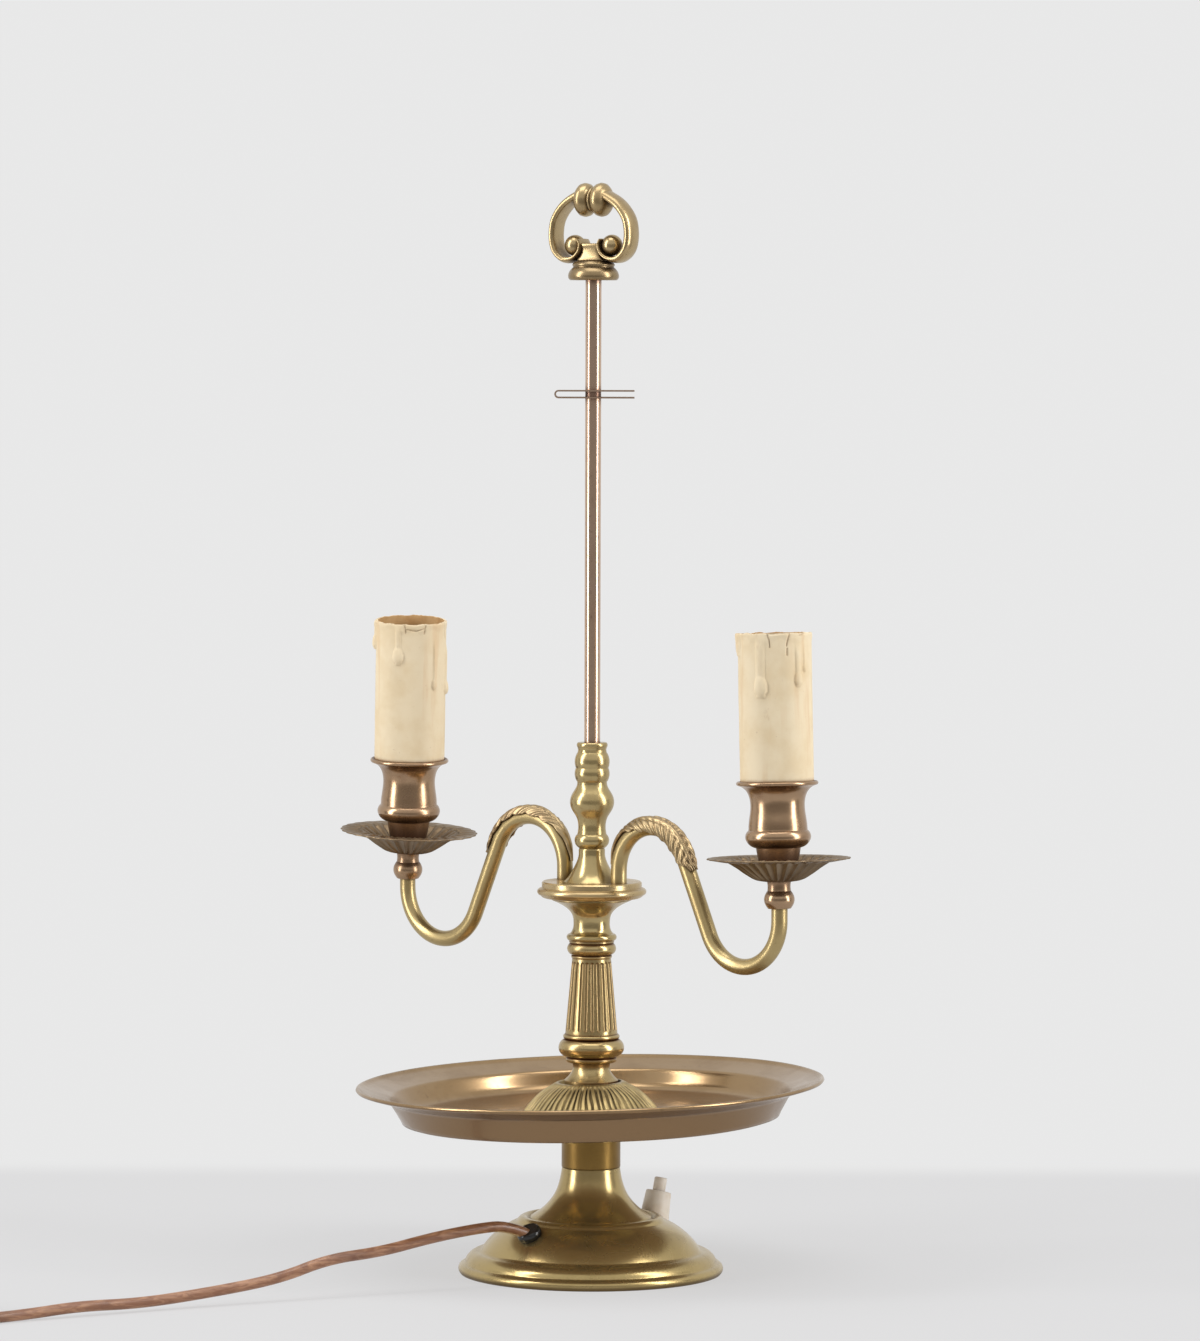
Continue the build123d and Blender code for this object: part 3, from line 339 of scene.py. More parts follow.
def wax_material():
    """Cream plaster of the false candles: clouds, specks, upright streaks, stains, and painted shade in the
    cracks and under the drips.
    """
    shader = Shader("candle_card")
    clouds = shader.noise(60.0, 4.0, 0.6)
    specks = shader.noise(700.0, 2.0, 0.6)
    # painted shade: cracks and the creases under the drips, found by an occlusion test, are darkened to dark
    # brown
    recess_shade = shader.span(shader.recess(2.5 * mm), 0.45, 0.92, 0.95, 0.0)
    colour = shader.mix(shader.span(clouds, 0.35, 0.70), (0.85, 0.71, 0.49), (0.79, 0.63, 0.40))
    colour = shader.mix(shader.span(specks, 0.70, 0.78, 0.0, 0.5), colour, (0.50, 0.33, 0.18))
    streaks = shader.noise(1.0, 3.0, 0.6, stretch=(120.0, 120.0, 12.0))
    colour = shader.mix(shader.span(streaks, 0.55, 0.74, 0.0, 0.40), colour, (0.70, 0.44, 0.21))
    stains = shader.noise(1.0, 4.0, 0.65, stretch=(90.0, 90.0, 45.0))
    colour = shader.mix(shader.span(stains, 0.66, 0.78, 0.0, 0.6), colour, (0.46, 0.27, 0.13))
    colour = shader.mix(recess_shade, colour, (0.26, 0.12, 0.045))
    shader.set(Base_Color=colour, Roughness=0.62, Specular_IOR_Level=0.3)
    shader.bump(clouds, 0.12 * mm)
    return shader.material


def cord_material():
    """Clear brown flex: light streaks run round and along it."""
    shader = Shader("cord_pvc")
    streaks = shader.noise(1.0, 4.0, 0.6, stretch=(160.0, 60.0, 420.0), distortion=0.8)
    blotches = shader.noise(60.0, 3.0, 0.6)
    colour = shader.mix(shader.span(streaks, 0.40, 0.66), (0.27, 0.115, 0.055), (0.47, 0.24, 0.13))
    colour = shader.mix(shader.span(blotches, 0.48, 0.70, 0.0, 0.45), colour, (0.14, 0.06, 0.035))
    shader.set(Base_Color=colour, Roughness=0.36, Coat_Weight=0.25, Coat_Roughness=0.2)
    shader.bump(streaks, 0.10 * mm)
    return shader.material


def seen_rays(tree):
    """1 for the rays by which the camera, metal and glass see something, 0 for the light that it gives."""
    path = tree.nodes.new("ShaderNodeLightPath").outputs
    seen = path["Is Camera Ray"]
    for kind in ("Is Glossy Ray", "Is Transmission Ray"):
        most = tree.nodes.new("ShaderNodeMath")
        most.operation = "MAXIMUM"
        tree.links.new(seen, most.inputs[0])
        tree.links.new(path[kind], most.inputs[1])
        seen = most.outputs["Value"]
    return seen


def floor_material():
    """Matt floor that keeps the shadow. It is seen mixed with its pale tone, and fades into the backdrop."""
    shader = Shader("stage_floor")
    shader.set(Base_Color=(0.64, 0.64, 0.65), Roughness=0.9, Specular_IOR_Level=0.1)
    sides = (
        (-toward_camera, floor_behind, floor_fade_behind),
        (toward_camera, floor_ahead, floor_fade),
        (to_the_right, floor_width / 2, floor_fade),
        (-to_the_right, floor_width / 2, floor_fade),
    )
    edge = 0.0
    for direction, reach, fade in sides:
        along = shader.tree.nodes.new("ShaderNodeVectorMath")
        along.operation = "DOT_PRODUCT"
        shader.link(shader.coordinates, along.inputs[0])
        along.inputs[1].default_value = direction
        fading = shader.span(along.outputs["Value"], reach - fade, reach - floor_hem)
        edge = shader.math("MAXIMUM", fading, edge)
    pale = shader.tree.nodes.new("ShaderNodeEmission")
    shader.link(shader.mix(edge, floor_tone, backdrop_tone), pale.inputs["Color"])
    blend = shader.tree.nodes.new("ShaderNodeMixShader")
    share = shader.span(edge, 0.0, 1.0, 0.68, 1.0)
    shader.link(shader.math("MULTIPLY", seen_rays(shader.tree), share), blend.inputs[0])
    shader.link(shader.bsdf.outputs["BSDF"], blend.inputs[1])
    shader.link(pale.outputs["Emission"], blend.inputs[2])
    shader.link(blend.outputs["Shader"], shader.tree.nodes["Material Output"].inputs["Surface"])
    return shader.material


def room_shade_material():
    """Even dark tone, which lights nothing: painted shade that the metal shows as the unlit room."""
    shader = Shader("stage_room")
    shader.set(Base_Color=(0.0, 0.0, 0.0), Specular_IOR_Level=0.0, Emission_Color=room_shade_tone,
               Emission_Strength=1.0)
    shader.material.cycles.emission_sampling = "NONE"
    return shader.material


# ------------------------------------------------------------------------------------------ stage and light
def make_sheet(name, line, faces, material):
    """Stage sheet through points of (aside, behind, height)."""
    mesh = bpy.data.meshes.new(name)
    points = [to_the_right * aside - toward_camera * behind + Vector((0, 0, height))
              for aside, behind, height in line]
    mesh.from_pydata(points, [], faces)
    mesh.materials.append(material)
    sheet = bpy.data.objects.new(name, mesh)
    bpy.context.scene.collection.objects.link(sheet)
    return sheet


def make_stage():
    """Floor sheet, whose edges fade into the backdrop."""
    half = floor_width / 2
    corners = [(-half, -floor_ahead, 0), (half, -floor_ahead, 0),
               (half, floor_behind, 0), (-half, floor_behind, 0)]
    make_sheet("stage_floor", corners, [(0, 1, 2, 3)], floor_material())


def make_room():
    """The unlit half of the room, as a dark sheet of painted shade that only metal sees: without it the
    lamp's front has no dark tones.
    """
    line = []
    for i in range(room_steps + 1):
        turn = room_reach * (2 * i / room_steps - 1)
        line += [(room_radius * sin(turn), -room_radius * cos(turn), z) for z in (room_foot, room_top)]
    faces = [(2 * i, 2 * i + 2, 2 * i + 3, 2 * i + 1) for i in range(room_steps)]
    room = make_sheet("stage_room", line, faces, room_shade_material())
    room.visible_camera = False
    room.visible_diffuse = False
    room.visible_shadow = False


def make_light(name, aside, ahead, height, width, tall, power):
    """Soft box, placed from the lamp's axis: aside to the camera's right, ahead towards the camera."""
    data = bpy.data.lights.new(name, "AREA")
    data.shape = "RECTANGLE"
    data.size = width
    data.size_y = tall
    data.energy = power
    light = bpy.data.objects.new(name, data)
    place = to_the_right * aside + toward_camera * ahead + Vector((0, 0, height))
    light.location = place
    light.rotation_euler = (light_aim - place).to_track_quat("-Z", "Y").to_euler()
    bpy.context.scene.collection.objects.link(light)


def make_lights():
    """A tall soft box on each side and a wide one above."""
    make_light("box_left", aside=-1.75, ahead=0.55, height=1.0, width=0.5, tall=2.4, power=31.0)
    make_light("box_right", aside=1.70, ahead=0.70, height=1.0, width=0.5, tall=2.4, power=30.5)
    make_light("box_top", aside=0.0, ahead=0.3, height=2.3, width=1.6, tall=1.2, power=16.0)


def make_world():
    """Even light from all round, which the camera, metal and glass see as the pale backdrop."""
    world = bpy.data.worlds.new("world")
    bpy.context.scene.world = world
    world.use_nodes = True
    tree = world.node_tree
    light = tree.nodes["Background"]
    light.inputs["Color"].default_value = (0.95, 0.97, 1.0, 1.0)
    light.inputs["Strength"].default_value = 0.30
    shown = tree.nodes.new("ShaderNodeBackground")
    shown.inputs["Color"].default_value = (*backdrop_tone, 1.0)
    blend = tree.nodes.new("ShaderNodeMixShader")
    tree.links.new(seen_rays(tree), blend.inputs[0])
    tree.links.new(light.outputs["Background"], blend.inputs[1])
    tree.links.new(shown.outputs["Background"], blend.inputs[2])
    tree.links.new(blend.outputs["Shader"], tree.nodes["World Output"].inputs["Surface"])


# ------------------------------------------------------------------------------------------ pieces and paint
def add_mesh(name, points, faces, material, body):
    """Smooth-shaded piece that moves with a body."""
    mesh = bpy.data.meshes.new(name)
    mesh.from_pydata(points, [], faces)
    mesh.update()
    for polygon in mesh.polygons:
        polygon.use_smooth = True
    mesh.materials.append(material)
    piece = bpy.data.objects.new(name, mesh)
    bpy.context.scene.collection.objects.link(piece)
    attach(piece, body)
    return piece


def paint(material, *names):
    """Give CAD nodes a finish."""
    for name in names:
        mesh = nodes[name].data
        mesh.materials.clear()
        mesh.materials.append(material)


# ------------------------------------------------------------------------------------------ shape helpers
def smooth_line(points, steps):
    """Evenly parted points of a smooth line through the given ones."""
    line = []
    last = len(points) - 1
    for i in range(last):
        a, b, c, d = (Vector(points[max(0, min(last, k))]) for k in (i - 1, i, i + 1, i + 2))
        for j in range(steps):
            t = j / steps
            line.append(0.5 * (2 * b + (c - a) * t + (2 * a - 5 * b + 4 * c - d) * t * t
                               + (3 * b - a - 3 * c + d) * t ** 3))
    line.append(Vector(points[-1]))
    return line


def smooth_outline(points, steps):
    """The same as plain pairs of (radius, height)."""
    return [tuple(point) for point in smooth_line(points, steps)]


def wrap_faces(rows, columns):
    """Quads of a grid of rows by columns that closes round on itself both ways."""
    faces = []
    for row in range(rows):
        for column in range(columns):
            after, beside = (row + 1) % rows, (column + 1) % columns
            faces.append((row * columns + column, row * columns + beside,
                          after * columns + beside, after * columns + column))
    return faces


def ring_solid(name, outline, columns, place, shape, material, body):
    """Solid of a closed outline of (radius, height) in millimetres, swept round. Shape moves its points."""
    points = []
    for index, (radius, height) in enumerate(outline):
        for column in range(columns):
            angle = 2 * pi * column / columns
            r, z = (mm * value for value in shape(index, radius, height, angle))
            points.append(place @ Vector((r * cos(angle), r * sin(angle), z)))
    return add_mesh(name, points, wrap_faces(len(outline), columns), material, body)


def bell(value, width):
    """1 at 0, falling to 0 at the width on both sides."""
    return max(0.0, 1.0 - (value / width) ** 2)


def facing_angle(angle):
    """Angle about an upright axis, in degrees from the camera's side towards its right."""
    return (degrees(angle - camera_turn) + 90.0 + 180.0) % 360.0 - 180.0


def end_place(side):
    """Where a candle end stands, with its lean in towards the lamp and its nod."""
    lean = Matrix.Rotation(-side * end_lean[side], 4, "Y")
    return (Matrix.Translation((side * arm_reach[side], 0, end_height[side]))
            @ Matrix.Rotation(end_nod[side], 4, "X") @ lean)


# ------------------------------------------------------------------------------------------ candle sleeves
def drip_rise(drip, across, depth):
    """Height of one drip at a distance across and a depth below the rim, in millimetres."""
    _, top, foot, half, drop, thick = drip
    if not top - 3 < depth < foot:
        return 0.0
    fade = min(1.0, (depth - top + 3) / 6)
    run = bell(across, half) ** 0.5 * thick * 0.5 * fade
    below = (depth - (foot - 1.25 * drop)) / (1.25 * drop)
    if below > -1.6:
        inside = 1.0 - (across / drop) ** 2 - (below * (1.0 if below > 0 else 0.6)) ** 2
        run = max(run, thick * max(0.0, inside) ** 0.5)
    return run


def crack_cut(line, angle, depth):
    """Depth of a crack at an angle and a depth below the rim, in millimetres."""
    radius = sleeve_radius / mm
    spot = Vector((radians(angle) * radius, depth))
    nearest = 1e9
    for (a, p), (b, q) in zip(line, line[1:]):
        start = Vector((radians(a) * radius, p))
        run = Vector((radians(b) * radius, q)) - start
        share = min(1.0, max(0.0, (spot - start).dot(run) / run.length_squared))
        nearest = min(nearest, (spot - start - run * share).length)
    return crack_depth * bell(nearest, crack_width) if nearest < crack_width else 0.0


def make_sleeve(side, word, outside, inside):
    """Candle sleeve: a tube with a broken lip, drips and cracks outside, and plain inside."""
    rim = sleeve_height / mm
    outer = sleeve_radius / mm
    inner = (sleeve_radius - sleeve_wall) / mm
    heights = [0.0, 0.5, 4.0, 10.0, 16.0, 22.0]
    heights += [rim - sleeve_detail + sleeve_step * i for i in range(int(sleeve_detail / sleeve_step))]
    outline = [(outer, z) for z in heights] + [(outer - 0.1, rim - 0.25), (outer - 0.35, rim)]
    lip = len(outline)
    outline += [(inner + 0.35, rim), (inner, rim - 0.3), (inner, rim - 8), (inner, rim - 20), (inner, 20),
                (inner, 0)]

    def shape(index, radius, height, angle):
        facing = facing_angle(angle)
        depth = rim - height
        ragged = noise.noise((4.2 * cos(angle), 4.2 * sin(angle), side * 3.0))
        fine_rag = noise.noise((16 * cos(angle), 16 * sin(angle), side * 5.0))
        height -= rim_slant[side] * (1 + cos(radians(facing))) / 2 * max(0.0, 1.0 - depth / 12)
        if depth < 3:
            height += (rim_rag * ragged + 0.25 * fine_rag - 0.35) * (1.0 - depth / 3)
        if index < lip:
            swell = noise.noise((2 * cos(angle), 2 * sin(angle), height * 0.09 + side * 7))
            radius += 0.16 * swell
            skirt = 4.5 + 4.0 * noise.noise((3 * cos(angle), 3 * sin(angle), side * 9.0))
            radius += rim_lift * max(0.0, min(1.0, (skirt - depth) / 2.5))
            rise = 0.0
            for drip in drips[word]:
                apart = radians((facing - drip[0] + 180) % 360 - 180) * outer
                if abs(apart) < 6:
                    rise = max(rise, drip_rise(drip, apart, depth))
            radius += rise
            if depth < 12:
                radius -= max(crack_cut(line, facing, depth) for line in cracks[word])
            if height < 0.4:
                height += 0.25 + 0.25 * fine_rag
        return radius, height

    place = end_place(side) @ Matrix.Translation((0, 0, sleeve_seat))
    sleeve = ring_solid(f"candle_{word}", outline, sleeve_columns, place, shape, outside, f"sleeve_{word}")
    sleeve.data.materials.append(inside)
    for polygon in sleeve.data.polygons:
        if polygon.index // sleeve_columns >= lip:
            polygon.material_index = 1
    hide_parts(f"candle_sleeve_{word}")


# ------------------------------------------------------------------------------------------ drip pans
def make_bobeche(side, word, material):
    """Pressed pan: the bowl is fluted and the flutes run out over the flange."""
    bowl = [(6.8, 0.05), (11.4, 1.4), (16.8, 4.6), (20.9, 7.5), (24.8, 9.9)]
    flange = [(26.2, 10.3), (29.0, 10.5), (32.0, 10.8), (35.0, 11.0)]
    under = [(4.3, 0.0), (6.2, 0.0)] + smooth_outline(bowl, 6) + smooth_outline(flange, 5)
    rim = [(35.3, 11.15), (35.3, 11.5), (35.0, 11.7)]
    over = [(r - 0.25 * (r < 26), z + (0.95 if r < 26 else 0.75)) for r, z in reversed(under[:-1])]

    def shape(index, radius, height, angle):
        wave = cos(bobeche_flutes * angle)
        if bowl_start < radius < bowl_edge:
            ridge = 1.0 - abs(sin(bobeche_flutes * angle / 2)) ** 0.8
            grow = min(1.0, (radius - bowl_start) / 6.0)
            height += flute_depth * grow * (0.5 - ridge)
        elif bowl_edge <= radius < flange_edge:
            height += flange_wave * wave * (35.5 - radius) / 9.5
        elif radius > flange_edge:
            radius -= rim_scallop * (1 + wave)
        return radius, height

    place = (end_place(side) @ Matrix.Translation((0, 0, bobeche_seat))
             @ Matrix.Rotation(-pan_tilt[side], 4, toward_camera))
    columns = bobeche_flutes * 12
    pan = ring_solid(f"drip_pan_{word}", under + rim + over, columns, place, shape, material, "lamp")
    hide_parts(f"bobeche_{word}")


# ------------------------------------------------------------------------------------------ leaves
def between(line, t):
    """Smooth value of a line of (place, value) at t."""
    for (a, p), (b, q) in zip(line, line[1:]):
        if t <= b:
            share = (t - a) / (b - a)
            return p + (q - p) * share * share * (3 - 2 * share)
    return line[-1][1]


def leaf_point(side, t, across, skin):
    """Point of the leaf: t from stem (0) to tip (1), across from -1 to 1, skin 0 inside and 1 outside."""
    reach = abs(across)
    vein = t * leaf_lobes * 2 - vein_sweep * reach ** 1.15
    lobe = (vein / 2) % 1.0
    carved = min(1.0, max(0.0, (t - leaf_plain) / leaf_plain))
    pointed = max(0.0, (leaf_point_share - t) / leaf_point_share)
    curled = max(0.0, (t - curl_start) / curl_length)
    spread = radians(between(leaf_spread, t)) * (1.0 - lobe_share * carved * abs(2 * lobe - 1) ** 2)
    bend = leaf_stem + (leaf_tip - leaf_stem) * t
    angle = radians(max(bend, arch_end))
    beyond = radians(max(0.0, arch_end - bend))
    round_tube = across * spread + radians(between(leaf_twist, t))
    lift = 0.15 + 0.4 * pointed ** 1.5 + curled ** 1.6 + 0.15 * carved * reach ** 3
    thick = leaf_thickness + (1 - carved) * (0.9 * (1 - reach * reach) - 1.2 * pointed)
    midrib = bell(across, 0.13) - 0.9 * bell(reach - 0.20, 0.08)
    veins = vein_depth * cos(2 * pi * vein) * min(1.0, reach * 3)
    relief = carved * (veins + midrib_height * midrib) * (1 - 0.5 * reach ** 6)
    radius = arm_radius / mm + lift + skin * (thick + relief - 0.5 * carved * reach ** 4)
    out = Vector((cos(angle), 0, sin(angle)))
    crown = arch_radius[side]
    spot = out * (crown + radius * mm * cos(round_tube)) + Vector((0, radius * mm * sin(round_tube), 0))
    spot += Vector((sin(angle), 0, -cos(angle))) * beyond * crown
    return spot + Vector((arm_root + crown, 0, arch_height))


def make_leaf(side, word, material):
    """Acanthus leaf on an arm's arch: an outer and an inner skin, joined all round."""
    points = []
    for skin in (1, 0):
        for row in range(leaf_rows + 1):
            for column in range(leaf_columns + 1):
                points.append(leaf_point(side, row / leaf_rows, 2 * column / leaf_columns - 1, skin))
    turn = Matrix.Identity(3) if side > 0 else Matrix.Rotation(pi, 3, "Z")
    points = [turn @ p for p in points]
    width = leaf_columns + 1
    under = (leaf_rows + 1) * width
    faces = []
    for row in range(leaf_rows):
        for column in range(leaf_columns):
            a = row * width + column
            faces.append((a, a + width, a + width + 1, a + 1))
            faces.append((under + a, under + a + 1, under + a + width + 1, under + a + width))
    for row in range(leaf_rows):
        for column in (0, leaf_columns):
            a = row * width + column
            quad = (a, under + a, under + a + width, a + width)
            faces.append(quad if column == 0 else quad[::-1])
    for column in range(leaf_columns):
        for row in (0, leaf_rows):
            a = row * width + column
            quad = (a, a + 1, under + a + 1, under + a)
            faces.append(quad if row == 0 else quad[::-1])
    leaf = add_mesh(f"acanthus_{word}", points, faces, material, "lamp")
    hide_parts(f"leaf_{word}")


# ------------------------------------------------------------------------------------------ foot and tray
def foot_outline():
    """Moulded rim, dome, bead and flared neck, and the hollow under them, in millimetres."""
    rim = [(65.6, 0.0), (66.4, 1.2), (66.6, 2.4), (66.2, 3.7), (64.9, 4.8), (63.4, 5.3), (63.0, 6.6),
           (62.1, 8.2), (60.4, 9.8), (58.4, 10.8), (57.0, 11.0)]
    dome = [(radius, dome_centre[1] + (dome_radius ** 2 - (radius - dome_centre[0]) ** 2) ** 0.5)
            for radius in (55.3, 54.2, 52.6, 50.6, 48.2, 45.6, 43.0, 40.6, 38.4)]
    bead = [(37.3, 26.2), (36.9, 26.7), (36.2, 27.6), (35.1, 28.4), (33.8, 28.7), (32.5, 28.4), (31.5, 27.7),
            (31.0, 27.4), (30.6, 27.9), (30.1, 28.5)]
    neck = [(29.2, 29.1), (26.8, 30.6), (24.4, 32.4), (22.1, 34.7), (20.0, 37.2), (18.2, 40.0), (16.8, 43.2),
            (15.7, 46.9), (15.0, 50.4), (14.5, 53.6)]
    hollow = [(5.4, 53.6), (5.4, 45.0), (10.0, 45.0), (10.0, 42.0), (13.0, 39.0), (17.0, 34.4), (22.6, 29.9),
              (29.0, 25.6), (33.0, 25.0), (39.0, 22.6), (45.0, 18.6), (49.6, 14.6), (52.2, 11.3), (52.8, 9.0),
              (58.7, 5.3), (61.0, 1.0), (61.0, 0.0)]
    skin = smooth_outline(rim, 2) + smooth_outline(dome, 2)
    skin += smooth_outline(bead, 3) + smooth_outline(neck, 3)
    return skin + hollow


def make_foot(material):
    """Turned foot, hollow underneath."""
    def shape(index, radius, height, angle):
        return radius, height

    place = Matrix.Identity(4)
    foot = ring_solid("moulded_foot", foot_outline(), foot_columns, place, shape, material, "lamp")
    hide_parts("foot")


def on_tray(height):
    """Place at a height on the tray's own axis, which leans with it."""
    pivot = Matrix.Translation((0, 0, tray_pivot))
    lean = pivot @ Matrix.Rotation(tray_lean, 4, toward_camera) @ pivot.inverted()
    return lean @ Matrix.Translation((0, 0, height))


def make_tray(material):
    """Spun dish: a flat bottom, a leaning wall, a sloping lip with a rolled rim, and a rounded inside."""
    under = [(5.6, 0.0), (60.0, 0.0), (93.0, 0.0), (94.9, 0.6), (95.8, 2.6), (98.2, 6.8), (100.6, 10.9)]
    under += [(101.4, 11.9), (103.0, 12.6), (109.0, 14.6), (116.2, 16.8)]
    rim = [(117.2, 17.1), (117.75, 17.85), (117.4, 18.7), (116.6, 19.0), (115.8, 18.6), (115.2, 17.9)]
    inside = [(113.0, 17.1), (108.0, 15.4), (103.0, 13.8), (101.0, 13.0), (99.9, 11.6), (98.4, 8.6),
              (96.9, 5.8), (94.8, 3.9), (91.4, 2.6), (86.0, 1.8), (78.0, 1.3)]
    over = smooth_outline(inside, 4) + [(40.0, 1.2), (5.6, 1.2)]

    def shape(index, radius, height, angle):
        if radius > 90.0:
            height += tray_wave * noise.noise((1.6 * cos(angle), 1.6 * sin(angle), 2.0))
        return radius, height

    place = on_tray(tray_seat)
    tray = ring_solid("spun_tray", under + rim + over, tray_columns, place, shape, material, "lamp")
    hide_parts("tray")


# ------------------------------------------------------------------------------------------ rosette
def make_rosette(material):
    """Ribbed dome round the column's foot, with an open slot between the two."""
    dome = [(34.4, 2.0), (33.2, 4.4), (31.0, 7.2), (27.8, 10.6), (23.6, 13.9), (19.6, 16.2)]
    outline = [(35.2, 0.0), (35.2, 0.7), (34.8, 1.3)] + smooth_outline(dome, 5)
    outline += [(18.2, 17.1), (16.9, 17.7), (15.8, 17.8), (15.6, 17.4), (15.6, 9.0), (11.8, 9.0),
                (11.8, 16.6), (5.4, 16.6), (5.4, 0.0)]

    def shape(index, radius, height, angle):
        turn = angle * rosette_ribs
        if radius > 18.0:
            blade = noise.noise((9 * cos(angle), 9 * sin(angle), height * 0.12))
            cross = cos(turn + 2.2 * blade + 0.25 * sin(height * 0.5 + angle * 7))
            depth = rib_depth * min(1.0, (35.6 - radius) / 2.5 + 0.25) * min(1.0, (radius - 17.5) / 3.0)
            cut = depth * max(0.0, 0.25 - cross) ** 0.8
            radius -= cut * 0.75
            height -= cut * 0.6 if height > 2 else 0.0
            if height < 3:
                radius += 0.25 * noise.noise((20 * cos(angle), 20 * sin(angle), 1.0))
        return radius, height

    columns = rosette_ribs * rib_columns
    rosette = ring_solid("ribbed_rosette", outline, columns, on_tray(tray_floor), shape, material, "lamp")
    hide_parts("rosette")


# ------------------------------------------------------------------------------------------ finial
def lathe(outline, columns, place):
    """Closed shell of an outline of (radius, height) that starts and ends on the axis."""
    points = [place @ Vector((0, 0, outline[0][1]))]
    for radius, height in outline[1:-1]:
        for column in range(columns):
            angle = 2 * pi * column / columns
            points.append(place @ Vector((radius * cos(angle), radius * sin(angle), height)))
    points.append(place @ Vector((0, 0, outline[-1][1])))
    rows = len(outline) - 2
    last = len(points) - 1
    faces = [(i, j, j + columns, i + columns) for row in range(rows - 1)
             for i, j in beside_pairs(1 + row * columns, columns)]
    faces += [(0, j, i) for i, j in beside_pairs(1, columns)]
    faces += [(last, i, j) for i, j in beside_pairs(last - columns, columns)]
    return points, faces


def beside_pairs(start, count):
    """Each point of a ring with the next one."""
    return [(start + k, start + (k + 1) % count) for k in range(count)]


def swept(rings):
    """Closed shell through rings of equally many points."""
    points = [point for ring in rings for point in ring]
    count = len(rings[0])
    faces = [(i, i + count, j + count, j) for row in range(len(rings) - 1)
             for i, j in beside_pairs(row * count, count)]
    faces.append(tuple(range(count)))
    faces.append(tuple(reversed(range(len(points) - count, len(points)))))
    return points, faces


def ball_outline(radius, across=1.0):
    """Half circle of (radius, height), flattened across its height."""
    return [(radius * sin(pi * i / 16), -radius * across * cos(pi * i / 16)) for i in range(17)]


def scroll_rings(side):
    """Rings of the D-shaped strap: flat towards the inside of the C and rounded on its outside."""
    line = smooth_line(scroll_line, 8)
    rings = []
    for i, (across, up, half) in enumerate(line):
        ahead = line[min(i + 1, len(line) - 1)] - line[max(i - 1, 0)]
        out = Vector((-ahead.y, ahead.x)).normalized()
        ring = []
        for k in range(28):
            turn = 2 * pi * k / 28
            lift = cos(turn) if cos(turn) > 0 else -abs(cos(turn)) ** 0.3
            deep = sin(turn) * handle_depth / 2
            ring.append(Vector((side * (across + out.x * half * lift), deep, up + out.y * half * lift)))
        rings.append(ring if side > 0 else ring[::-1])
    return rings


def plinth_rings():
    """Waisted block between the curls, from its foot to its top."""
    steps = ((0.0, 7.4, 5.0), (1.2, 7.5, 5.1), (2.4, 6.4, 4.6), (4.6, 5.2, 4.1), (6.6, 5.2, 4.1),
             (7.6, 6.2, 4.6), (8.6, 6.4, 4.8), (9.1, 6.0, 4.5))
    rings = []
    for up, half_wide, half_deep in steps:
        ring = []
        for k in range(32):
            turn = 2 * pi * k / 32
            wide = abs(cos(turn)) ** 0.35 * (1 if cos(turn) > 0 else -1)
            deep = abs(sin(turn)) ** 0.35 * (1 if sin(turn) > 0 else -1)
            ring.append(Vector((half_wide * wide, half_deep * deep, up)))
        rings.append(ring)
    return rings


def make_handle(material):
    """Ring handle: two C scrolls that curl round balls, a plinth between them and a knot of two beads."""
    along = Matrix.Translation((0, 0, knot_height)) @ Matrix.Rotation(pi / 2, 4, "Y")
    bead = [(0.0, 0.4), (4.6, 0.45), (6.6, 1.2), (8.0, 2.7), (knot_radius, 4.6), (8.1, 6.4), (6.8, 7.8),
            (5.4, 8.7), (4.2, 9.3), (0.0, 9.6)]
    ring = [(0.0, -0.9), (5.8, -0.9), (6.4, -0.5), (6.6, 0.0), (6.4, 0.5), (5.8, 0.9), (0.0, 0.9)]
    shells = [lathe(ring, 48, along), swept(plinth_rings())]
    for side in (1, -1):
        ball = Matrix.Translation((side * ball_place[0], 0, ball_place[1])) @ Matrix.Rotation(pi / 2, 4, "X")
        shells += [
            swept(scroll_rings(side)),
            lathe(ball_outline(ball_radius, 1.02), 32, ball),
            lathe([(r, side * z) for r, z in bead][::side], 48, along),
        ]
    turn = Matrix.Rotation(handle_turn, 4, "Z")
    place = Matrix.Translation((0, 0, handle_seat)) @ turn @ Matrix.Scale(mm, 4)
    points = []
    faces = []
    for shell_points, shell_faces in shells:
        start = len(points)
        points += [place @ point for point in shell_points]
        faces += [tuple(start + i for i in face) for face in shell_faces]
    handle = add_mesh("ring_handle", points, faces, material, "lamp")
    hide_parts("finial_handle")


# ------------------------------------------------------------------------------------------ cord
def coil_line():
    """The coil's control points: turns inwards on the floor, then outwards on top of them."""
    total = coil_floor_turns + coil_rise_turns + coil_top_turns
    rise_end = coil_floor_turns + coil_rise_turns
    floor = cord_diameter / mm / 2
    top = cord_diameter / mm * 1.5
    pull = 1 / cos(pi / coil_points) ** coil_pull
    points = []
    for i in range(1, int(total * coil_points)):
        turn = i / coil_points
        if turn < coil_floor_turns:
            radius = coil_outer + (coil_inner - coil_outer) * turn / coil_floor_turns
            height = floor
        elif turn < rise_end:
            radius = coil_inner
            height = floor + (top - floor) * (turn - coil_floor_turns) / coil_rise_turns
        else:
            radius = coil_inner + (coil_outer - coil_inner) * (turn - rise_end) / coil_top_turns
            height = top
        angle = radians(coil_start - 360 * turn)
        across = coil_centre[0] + radius * pull * cos(angle)
        along = coil_centre[1] + radius * pull * sin(angle)
        points.append((across, along, height))
    return points


